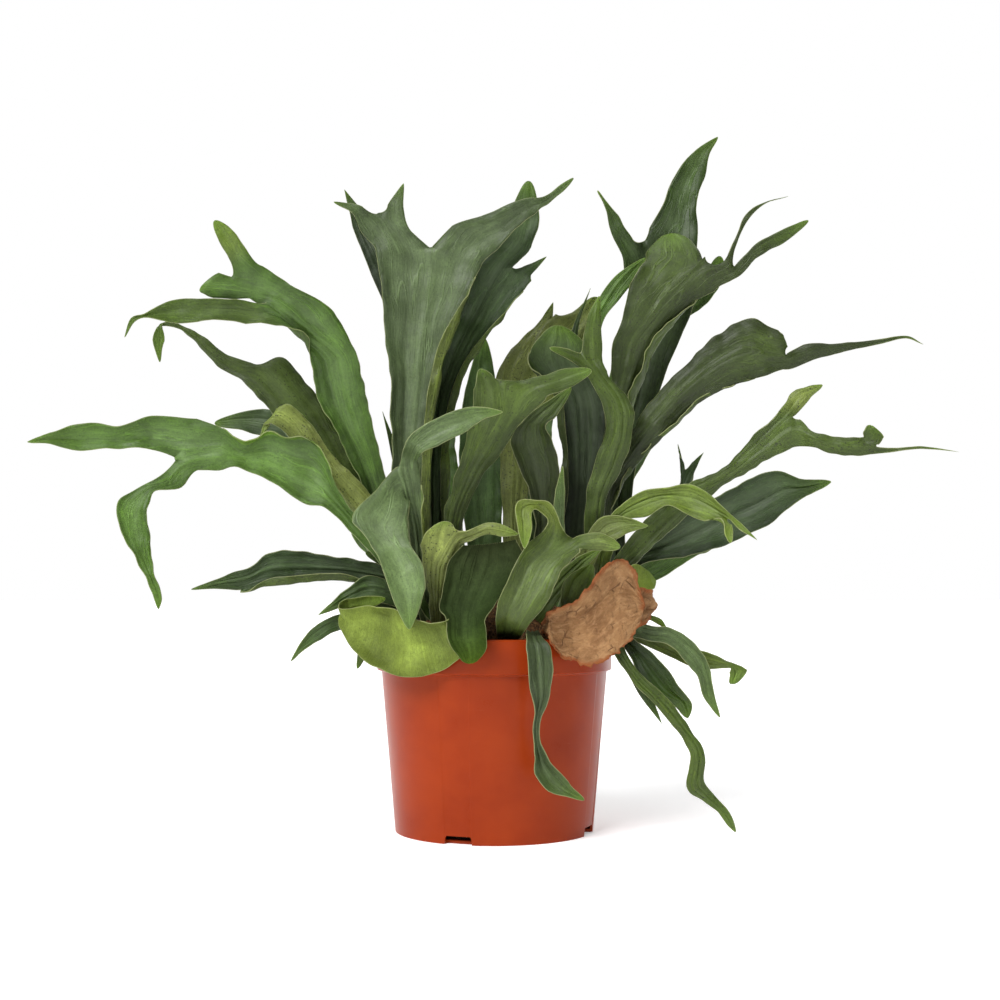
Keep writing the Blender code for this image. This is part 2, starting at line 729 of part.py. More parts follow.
                tip=(174, 16, 306, 1),
            ),
        ],
    )),
    "frond_trailing_long": ("under", blade(
        [
            (49, -44, 151, 53, -44, 153, 0), (68, -56, 158, 74, -56, 164, 0),
            (85, -61, 159, 90, -61, 165, 1), (92, -70, 144, 98, -70, 147, 1),
            (105, -75, 122, 114, -75, 126, 1), (120, -76, 107, 131, -76, 109, 1),
            (136, -76, 88, 146, -76, 90, 2), (149, -75, 69, 158, -75, 70, 2),
            (148, -74, 56, 158, -74, 57, 2), (146, -73, 44, 158, -73, 47, 2),
            (157, -70, 33, 168, -70, 36, 1), (172, -66, 21, 178, -66, 23, 1),
        ],
        tip=(184, -60, 8, 0.8),
    )),
    "frond_trailing_dark": ("gloss", blade(
        [
            (56, -41, 155, 53, -41, 152, 0), (75, -51, 167, 70, -51, 159, 1),
            (91, -56, 167, 87, -56, 159, 2), (116, -66, 146, 103, -66, 141, 3),
            (130, -67, 133, 112, -67, 123, 4), (142, -65, 118, 123, -65, 109, 4),
            (152, -60, 104, 138, -60, 103, 2),
        ],
        tip=(149, -55, 93, 0.6),
    )),
    "frond_trailing_thin": ("dark", blade(
        [
            (62, -30, 157, 58, -30, 154, 0), (72, -34, 165, 68, -34, 159, 0),
            (89, -44, 163, 84, -44, 157, 0), (109, -50, 131, 103, -50, 128, 0),
            (118, -52, 117, 111, -52, 113, 0), (124, -52, 105, 117, -52, 104, 0),
        ],
        tip=(130, -50, 88, 0.9),
    )),
    "frond_trailing_right": ("grey", blade(
        [
            (58, -36, 157, 57, -36, 153, 0), (75, -44, 171, 73, -44, 162, 1),
            (92, -51, 170, 91, -51, 160, 1), (120, -51, 164, 118, -51, 153, 2),
            (137, -48, 162, 132, -48, 150, 2), (149, -50, 155, 142, -50, 143, 2),
            (161, -50, 144, 154, -50, 131, 2), (168, -50, 128, 160, -50, 120, 2),
            (170, -50, 113, 163, -50, 109, 1),
        ],
        tip=(175, -50, 93, 0.9),
    )),
    "frond_trailing_fresh": ("fresh", blade(
        [
            (67, -13, 159, 65, -13, 156, 0), (77, -15, 169, 75, -15, 161, 0),
            (96, -21, 166, 94, -21, 158, 0), (132, -26, 155, 128, -26, 144, 0),
            (155, -30, 146, 152, -30, 133, 1), (170, -32, 143, 166, -32, 129, 2),
            (183, -34, 136, 179, -34, 130, 0), (189, -35, 134, 186, -35, 130, 0),
            (199, -36, 129, 185, -36, 127, 1),
        ],
        tip=(188, -36, 118, 0.3),
    )),
    "leaf_small_hook": ("fresh", blade(
        [
            (67, 6, 161, 65, 6, 159, 0), (78, 3, 174, 76, 3, 169, 0), (102, 0, 173, 102, 0, 168, 0),
            (124, -6, 172, 124, -6, 168, 0), (135, -10, 168, 132, -10, 164, 0),
        ],
        tip=(139, -12, 160, 0.7),
    )),
    "frond_far_left_high": ("green", blade(
        [
            (-29, 44, 164, -17, 44, 164, 1), (-36, 54, 185, -21, 54, 185, 2),
            (-48, 78, 236, -27, 78, 236, 3), (-63, 104, 299, -33, 104, 299, 4),
            (-79, 126, 365, -39, 126, 364, 5), (-90, 140, 414, -40, 140, 412, 5),
        ],
        gaps=[(-66, 150, 452)],
        lobes=[
            blade(
                [
                    (-95, 156, 455, -72, 156, 464, 2),
                ],
                tip=(-98, 170, 504, 0.7),
            ),
            blade(
                [
                    (-61, 158, 472, -37, 158, 453, 2),
                ],
                tip=(-41, 176, 505, 0.7),
            ),
        ],
    )),
    "frond_far_right_high": ("green", blade(
        [
            (40, 43, 157, 50, 43, 156, 1), (53, 59, 187, 66, 59, 185, 2),
            (69, 83, 236, 87, 83, 236, 3), (89, 106, 299, 110, 106, 299, 4),
            (99, 124, 363, 125, 124, 363, 4), (112, 138, 414, 143, 138, 414, 4),
        ],
        gaps=[(145, 148, 453)],
        lobes=[
            blade(
                [
                    (125, 154, 458, 140, 154, 464, 2),
                ],
                tip=(137, 166, 507, 0.7),
            ),
            blade(
                [
                    (155, 156, 466, 181, 156, 459, 2),
                ],
                tip=(182, 172, 500, 0.7),
            ),
        ],
    )),
    "frond_far_centre": ("green", blade(
        [
            (12, 44, 166, 25, 44, 166, 1), (13, 56, 185, 29, 56, 185, 2),
            (12, 83, 236, 34, 83, 236, 4), (10, 111, 291, 44, 111, 291, 5),
            (8, 134, 339, 52, 134, 337, 5),
        ],
        gaps=[(32, 146, 365)],
        lobes=[
            blade(
                [
                    (6, 156, 362, 23, 156, 372, 1),
                ],
                tip=(10, 176, 388, 0.7),
            ),
            blade(
                [
                    (38, 156, 375, 57, 156, 364, 1),
                ],
                tip=(62, 176, 392, 0.7),
            ),
        ],
    )),
    "frond_far_left_low": ("green", blade(
        [
            (-34, 50, 157, -26, 50, 160, 1), (-47, 64, 184, -37, 64, 192, 2),
            (-80, 90, 204, -73, 90, 222, 3), (-107, 115, 219, -100, 115, 243, 4),
            (-131, 136, 242, -112, 136, 264, 4),
        ],
        tip=(-142, 155, 304, 0.7),
    )),
    "frond_far_right_low": ("green", blade(
        [
            (29, 52, 158, 35, 54, 152, 1), (95, 79, 190, 106, 79, 183, 2),
            (136, 100, 219, 154, 100, 208, 3), (182, 124, 248, 196, 124, 230, 4),
            (225, 140, 269, 236, 140, 247, 4),
        ],
        tip=(275, 152, 287, 0.7),
    )),
    "frond_far_mid_right": ("green", blade(
        [
            (17, 55, 155, 23, 56, 149, 1), (89, 85, 192, 99, 85, 187, 2),
            (99, 106, 273, 114, 106, 265, 3), (126, 123, 334, 145, 123, 325, 4),
            (166, 133, 378, 183, 133, 366, 4),
        ],
        tip=(226, 146, 406, 0.7),
    )),
    "frond_far_trailing": ("green", blade(
        [
            (18, 52, 164, 8, 52, 164, 0), (22, 60, 178, 8, 60, 178, 1), (24, 93, 164, 6, 93, 164, 2),
            (26, 112, 130, 3, 112, 130, 3), (28, 118, 94, 5, 118, 94, 3),
            (26, 120, 59, 10, 120, 59, 2),
        ],
        tip=(21, 122, 14, 0.7),
    )),
    "shield_far_green": ("dark", blade(
        [
            (-41, 55, 150, -18, 55, 150, 3), (-81, 121, 165, -2, 121, 165, 5),
            (-80, 136, 140, 0, 136, 140, 6),
        ],
        tip=(-38, 126, 104, 0.45),
    )),
}


def smooth(t):
    return t * t * (3 - 2 * t)


def knots(points):
    """Spacing of the curve's parameter: the square root of each chord."""
    chords = np.linalg.norm(np.diff(points, axis=0), axis=1)
    return np.concatenate([[0.0], np.cumsum(np.sqrt(chords) + 1e-6)])


def slopes(points, at, first=None):
    """Slope at each point, the weighted mean of its two chords."""
    steps = np.diff(at)
    chord = np.diff(points, axis=0) / steps[:, None]
    slope = np.empty_like(points)
    slope[0] = chord[0] if first is None else first
    slope[-1] = chord[-1]
    for i in range(1, len(points) - 1):
        slope[i] = (chord[i] * steps[i - 1] + chord[i - 1] * steps[i]) / (steps[i - 1] + steps[i])
    return slope


def curve(points, slope, at, i, t):
    """Cubic Hermite curve on span i."""
    span = at[i + 1] - at[i]
    t = t[:, None]
    start = 2 * t**3 - 3 * t**2 + 1
    end = 3 * t**2 - 2 * t**3
    leave = t**3 - 2 * t**2 + t
    arrive = t**3 - t**2
    return start * points[i] + end * points[i + 1] + span * (leave * slope[i] + arrive * slope[i + 1])


def rounded_edge(start, end, forward, t):
    """A quarter ellipse from start to end that leaves at right angles to forward."""
    ahead = forward * ((end - start) @ forward)
    across = end - start - ahead
    return start + ahead * t[:, None] + across * np.sqrt(1 - (1 - t) ** 2)[:, None]


def stations(node, parent_row):
    """Centres, half widths, left edges, right edges and cups of a strip's own stations."""
    rows = np.array(node["rows"], float).reshape(-1, 7)
    left, right, cup = rows[:, :3], rows[:, 3:6], rows[:, 6]
    if parent_row is not None:
        left = np.vstack([parent_row[0], left])
        right = np.vstack([parent_row[-1], right])
        cup = np.concatenate([[0.0], cup])
    centre, half = (left + right) / 2, (right - left) / 2
    if node["tip"]:
        centre = np.vstack([centre, node["tip"][:3]])
        half = np.vstack([half, np.zeros(3)])
        cup = np.concatenate([cup, [0.0]])
    return centre, half, left, right, cup


def fork_row(centre, half, gaps, columns):
    """Where each column of the last row goes: along straight lines through the gaps' bottoms."""
    corners = [centre - half] + [np.array(gap, float) for gap in gaps] + [centre + half]
    chords = np.linalg.norm(np.diff(corners, axis=0), axis=1)
    at = np.concatenate([[0.0], np.cumsum(chords)]) / chords.sum()
    place = np.linspace(0, len(gaps) + 1, columns + 1)
    share = np.interp(place, range(len(corners)), at) * 2 - 1
    points = np.stack([np.interp(place, range(len(corners)), axis) for axis in np.transpose(corners)], -1)
    return share, points


def strip(node, columns, parent_row=None, leave=None, inner=(False, False)):
    """Grid of points of one unforked strip, rows from base to tip."""
    centre, half, left, right, cup = stations(node, parent_row)
    at = knots(centre)
    if leave is not None:
        leave = leave * np.linalg.norm(centre[1] - centre[0]) / (at[1] - at[0])
    centre_slope, half_slope = slopes(centre, at, leave), slopes(half, at)
    spans = len(at) - 1
    rows = []
    if parent_row is None:
        rows.append((centre[0], half[0], cup[0], 0.0, 0.0))
    for i in range(spans):
        child = parent_row is not None and i == 0
        last = bool(node["tip"]) and i == spans - 1
        count = max(3 if child or last else 1, round(np.linalg.norm(centre[i + 1] - centre[i]) / ROW_STEP))
        t = np.arange(1, count + 1) / count
        if child:
            t = 1 - np.cos(t * math.pi / 2)
        elif last:
            t = 1 - (1 - t) ** 1.5
        middle = curve(centre, centre_slope, at, i, t)
        width = curve(half, half_slope, at, i, t)
        depth = cup[i] + (cup[i + 1] - cup[i]) * t
        if last:
            width = half[i] * ((1 - t) ** node["tip"][3])[:, None]
            depth = cup[i] * (1 - t)
        if child:
            low, high = middle - width, middle + width
            forward = (centre[1] - centre[0]) / np.linalg.norm(centre[1] - centre[0])
            if inner[0]:
                low = rounded_edge(left[0], left[1] if len(left) > 1 else centre[1], forward, t)
            if inner[1]:
                high = rounded_edge(right[0], right[1] if len(right) > 1 else centre[1], forward, t)
            middle, width = (low + high) / 2, (high - low) / 2
        fork = smooth(t) if node["gaps"] and i == spans - 1 else 0 * t
        blend = 1 - smooth(t) if child else 0 * t
        rows.extend(zip(middle, width, depth, fork, blend))
    middle, width, depth, fork, blend = (np.array(column) for column in zip(*rows))
    path = middle if parent_row is None else np.vstack([(parent_row[0] + parent_row[-1]) / 2, middle])
    along = np.gradient(path, axis=0)[len(path) - len(middle):]
    across = width.copy()
    for r in range(1, len(across)):
        if np.linalg.norm(across[r]) < 1e-6:
            across[r] = across[r - 1]
    normal = np.cross(across, along)
    normal /= np.linalg.norm(normal, axis=1)[:, None] + 1e-12
    place = np.repeat(np.linspace(-1, 1, columns + 1)[None], len(middle), 0)
    shift = np.zeros((len(middle), columns + 1, 3))
    if node["gaps"]:
        share, points = fork_row(middle[-1], width[-1], node["gaps"], columns)
        place = place * (1 - fork[:, None]) + share * fork[:, None]
        shift = fork[:, None, None] * (points - middle[-1] - width[-1] * share[:, None])
    bow = (depth[:, None] * (1 - place**2))[..., None] * normal[:, None]
    grid = middle[:, None] + width[:, None] * place[..., None] - bow + shift
    if parent_row is not None:
        part = np.linspace(0, 1, columns + 1)[:, None]
        bend = parent_row - (parent_row[0] * (1 - part) + parent_row[-1] * part)
        grid = np.concatenate([parent_row[None], grid + blend[:, None, None] * bend])
    return grid


def off_rhizome(points):
    """Distance outside the rhizome's surface, and the direction straight out of it."""
    scaled = (points - RHIZOME_CENTRE) / RHIZOME_RADII
    steep = scaled / RHIZOME_RADII
    size = np.linalg.norm(scaled, axis=-1)
    length = np.linalg.norm(steep, axis=-1)
    return size * (size - 1) / length, steep / length[..., None]


def trimmed(grid):
    """The grid without the rows inside the rhizome: each column starts where it leaves it."""
    along, across = np.gradient(grid, axis=0), np.gradient(grid, axis=1)
    normal = np.cross(across, along)
    normal /= np.linalg.norm(normal, axis=-1)[..., None] + 1e-12
    distance, out = off_rhizome(grid)
    clear = distance - SEAT_GAP - HALF * np.abs((normal * out).sum(-1))
    first = [int(np.nonzero(column < 0)[0].max(initial=-1)) + 1 for column in clear.T]
    start = max(first)
    if start == 0:
        return grid
    base = []
    for j, row in enumerate(first):
        row = max(row, 1)
        low, high = clear[row - 1, j], clear[row, j]
        part = min(max(-low / (high - low), 0.0), 1.0)
        base.append(grid[row - 1, j] * (1 - part) + grid[row, j] * part)
    base = np.array(base)
    if np.linalg.norm(grid[start] - base, axis=1).min() < 3.0:
        start += 1
    return np.concatenate([base[None], grid[start:]])


def frond_mesh(node, columns):
    """Points and faces of a whole frond, forks included."""
    points, faces = [], []

    def add(node, columns, parent=None, leave=None, inner=(False, False)):
        row, names = parent if parent else (None, None)
        grid = strip(node, columns, row, leave, inner)
        if parent is None:
            grid = trimmed(grid)
        index = np.zeros(grid.shape[:2], int)
        for r in range(len(grid)):
            if r == 0 and parent:
                index[0] = names
            elif node["tip"] and r == len(grid) - 1:
                index[r] = len(points)
                points.append(grid[r, 0])
            else:
                index[r] = range(len(points), len(points) + columns + 1)
                points.extend(grid[r])
        for r in range(len(grid) - 1):
            for c in range(columns):
                ring = (index[r, c], index[r, c + 1], index[r + 1, c + 1], index[r + 1, c])
                faces.append([int(p) for p in dict.fromkeys(ring)])
        lobes = node["lobes"] or []
        if not lobes:
            return
        forward = grid[-1].mean(0) - grid[-2].mean(0)
        forward /= np.linalg.norm(forward)
        per = columns // len(lobes)
        for k, lobe in enumerate(lobes):
            piece = slice(k * per, k * per + per + 1)
            sides = (k > 0, k < len(lobes) - 1)
            add(lobe, per, (grid[-1][piece], index[-1][piece]), forward, sides)

    add(node, columns)
    return points, faces


def columns_for(node):
    """Enough columns for the deepest fork: each fork shares them among its lobes."""
    if not node["lobes"]:
        return 1
    return len(node["lobes"]) * max(columns_for(lobe) for lobe in node["lobes"])


def make_material(name):
    material = bpy.data.materials.new(name)
    material.use_nodes = True
    shader = material.node_tree.nodes["Principled BSDF"]
    tone = name.split("__")[0]
    shader.inputs["Base Color"].default_value = (*COLOURS[tone], 1.0)
    shader.inputs["Roughness"].default_value = 0.45 if tone in ("pot", "gloss") else 0.7
    return material


def make_object(name, tone, points, faces):
    mesh = bpy.data.meshes.new(name)
    mesh.from_pydata([tuple(float(v) * MM for v in point) for point in points], [], faces)
    mesh.update()
    made = bpy.data.objects.new(name, mesh)
    mesh.materials.append(make_material(f"{tone}__{name}"))
    bpy.context.scene.collection.objects.link(made)
    return made


def ring_faces(rings, sides):
    """Quads between neighbouring rings of points."""
    faces = []
    for r in range(rings - 1):
        for s in range(sides):
            e = (s + 1) % sides
            faces.append([r * sides + s, r * sides + e, (r + 1) * sides + e, (r + 1) * sides + s])
    return faces


def lathe(name, tone, profile, sides):
    """Solid of revolution about +Z through a profile that runs from the bottom to the top."""
    turn = np.arange(sides) * 2 * math.pi / sides
    points = [(r * math.cos(a), r * math.sin(a), z) for r, z in profile for a in turn]
    faces = ring_faces(len(profile), sides)
    faces.append(list(range(sides))[::-1])
    faces.append(list(range(len(points) - sides, len(points))))
    return make_object(name, tone, points, faces)


def notch_cutters():
    """Drainage openings round the foot of the pot's wall, one hidden helper."""
    width, reach, height = NOTCH_SIZE
    points, faces = [], []
    for n in range(NOTCH_COUNT):
        angle = math.radians(NOTCH_FIRST_ANGLE + 360.0 * n / NOTCH_COUNT)
        out = np.array([math.cos(angle), math.sin(angle), 0.0])
        side = np.array([-out[1], out[0], 0.0])
        first = len(points)
        for z in (-height / 2, height / 2):
            for a, b in ((-1, -1), (1, -1), (1, 1), (-1, 1)):
                lean = 0.8 if z > 0 else 1.0
                points.append(out * (80.0 + a * reach / 2) + side * b * width / 2 * lean + [0, 0, z])
        for ring in ((3, 2, 1, 0), (4, 5, 6, 7), (0, 1, 5, 4), (1, 2, 6, 5), (2, 3, 7, 6), (3, 0, 4, 7)):
            faces.append([first + p for p in ring])
    helper = make_object("notch_cutter", "pot", points, faces)
    helper.hide_render = True
    helper.display_type = "WIRE"
    return helper


def make_pot():
    pot = lathe("pot", "pot", POT_OUTSIDE + POT_INSIDE, POT_SIDES)
    cut = pot.modifiers.new("notches", "BOOLEAN")
    cut.operation = "DIFFERENCE"
    cut.solver = "EXACT"
    cut.object = notch_cutters()


def make_soil():
    """The soil fills the pot with a thin gap all round."""
    floor, wall, step, _ = POT_INSIDE[::-1]
    profile = [(floor[0] - 8, floor[1] + SOIL_GAP), (floor[0] - 6, 9.0), (floor[0] + 0.2, 12.0)]
    profile += [(wall[0] - 0.5, wall[1]), (step[0] - 0.5, step[1] + 0.5), (step[0] - 0.4, SOIL_TOP)]
    lathe("soil", "soil", profile, POT_SIDES)


def make_rhizome():
    """The crown that the fronds grow from: a dome sitting on the soil."""
    foot = SOIL_TOP + 0.3 - RHIZOME_CENTRE[2]
    low = math.asin(foot / RHIZOME_RADII[2])
    points = []
    for k in range(RHIZOME_RINGS):
        lift = low + (math.pi / 2 - low) * k / RHIZOME_RINGS
        for s in range(RHIZOME_SIDES):
            turn = 2 * math.pi * s / RHIZOME_SIDES
            unit = (math.cos(lift) * math.cos(turn), math.cos(lift) * math.sin(turn), math.sin(lift))
            points.append(RHIZOME_CENTRE + RHIZOME_RADII * unit)
    faces = ring_faces(RHIZOME_RINGS, RHIZOME_SIDES)
    faces.append(list(range(RHIZOME_SIDES))[::-1])
    top = len(points)
    points.append(RHIZOME_CENTRE + [0, 0, RHIZOME_RADII[2]])
    ring = top - RHIZOME_SIDES
    for s in range(RHIZOME_SIDES):
        faces.append([ring + s, ring + (s + 1) % RHIZOME_SIDES, top])
    make_object("rhizome", "rhizome", points, faces)


def make_frond(name, tone, node):
    need = columns_for(node)
    columns = need * max(1, round(STEM_COLUMNS / need))
    if not node["lobes"]:
        columns = 2
    points, faces = frond_mesh(node, columns)
    frond = make_object(name, tone, points, faces)
    thicken = frond.modifiers.new("thickness", "SOLIDIFY")
    thicken.thickness = LEAF_THICKNESS * MM
    thicken.offset = 0.0


def main():
    for old in list(bpy.data.objects):
        bpy.data.objects.remove(old)
    make_pot()
    make_soil()
    make_rhizome()
    for name, (tone, node) in FRONDS.items():
        make_frond(name, tone, node)


main()
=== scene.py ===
"""Looks of the potted staghorn fern: fronds, shield leaves, crown, soil and pot.

Tables are in millimetres and the scene is in metres. Every frond is a curved strip worked out on
a grid and given a thickness; its colours and pattern coordinates are stored on the mesh.
"""

import math

import bpy
import numpy as np
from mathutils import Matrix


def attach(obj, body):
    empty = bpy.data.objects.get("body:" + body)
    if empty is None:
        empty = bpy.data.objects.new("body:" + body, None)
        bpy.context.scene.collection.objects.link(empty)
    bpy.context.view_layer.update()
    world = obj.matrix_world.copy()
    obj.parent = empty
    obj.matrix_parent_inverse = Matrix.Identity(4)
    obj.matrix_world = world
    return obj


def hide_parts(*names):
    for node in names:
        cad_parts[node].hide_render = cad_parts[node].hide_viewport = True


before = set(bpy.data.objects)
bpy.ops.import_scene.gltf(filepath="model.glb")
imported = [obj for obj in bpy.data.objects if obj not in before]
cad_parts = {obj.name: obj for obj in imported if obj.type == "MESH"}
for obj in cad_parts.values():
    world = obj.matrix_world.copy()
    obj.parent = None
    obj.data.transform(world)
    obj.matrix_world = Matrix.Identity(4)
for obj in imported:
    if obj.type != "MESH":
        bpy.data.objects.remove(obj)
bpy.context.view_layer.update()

MM = 0.001
# leaf grids: step along the leaf in millimetres, and cells across it
ROW_STEP = 2.6
COLUMNS = 32
# half thickness inside a leaf and at its margin, in millimetres
LEAF_HALF = 0.62
MARGIN_HALF = 0.22
# turned margins: cells, radius of the turn in millimetres, and angle turned
HEM_COLUMNS = 10
HEM_RADIUS = 1.4
HEM_TURN = math.radians(150)
# height of the veins in millimetres, and width of a long fold as a share of the leaf's
VEIN_HEIGHT = 0.28
FOLD_WIDTH = 0.07
# crown and soil, in millimetres
SOIL_TOP = 141.0
CROWN_GAP = 0.3
RHIZOME_CENTRE = np.array([4.0, 0.0, 138.0])
RHIZOME_RADII = np.array([84.0, 76.0, 50.0])


def srgb(red, green, blue):
    """Screen colour, 0 to 255, as linear light."""
    value = np.array([red, green, blue]) / 255
    return np.where(value <= 0.04045, value / 12.92, ((value + 0.055) / 1.055) ** 2.4)


# upper face, underside
TONES = {
    "grey": (srgb(90, 110, 64), srgb(88, 104, 46)),
    "olive": (srgb(74, 93, 22), srgb(80, 96, 28)),
    "dark": (srgb(44, 64, 26), srgb(58, 74, 28)),
    "lime": (srgb(114, 130, 50), srgb(96, 112, 40)),
    "fresh": (srgb(106, 127, 42), srgb(102, 122, 44)),
    "brown": (srgb(155, 112, 69), srgb(131, 90, 51)),
    "pale": (srgb(112, 124, 60), srgb(108, 118, 56)),
    "under": (srgb(72, 94, 26), srgb(65, 82, 26)),
    "green": (srgb(72, 102, 32), srgb(70, 92, 30)),
    "gloss": (srgb(44, 67, 20), srgb(50, 70, 24)),
}
TIP_COLOUR = srgb(120, 158, 44)
BASE_COLOUR = srgb(128, 134, 84)


def blade(rows, tip=None, gaps=None, lobes=None, tone=None):
    """A strip: rows of (left x, y, z, right x, y, z, cup), then a tip (x, y, z, power) or a fork."""
    return {"rows": rows, "tip": tip, "gaps": gaps, "lobes": lobes, "tone": tone}


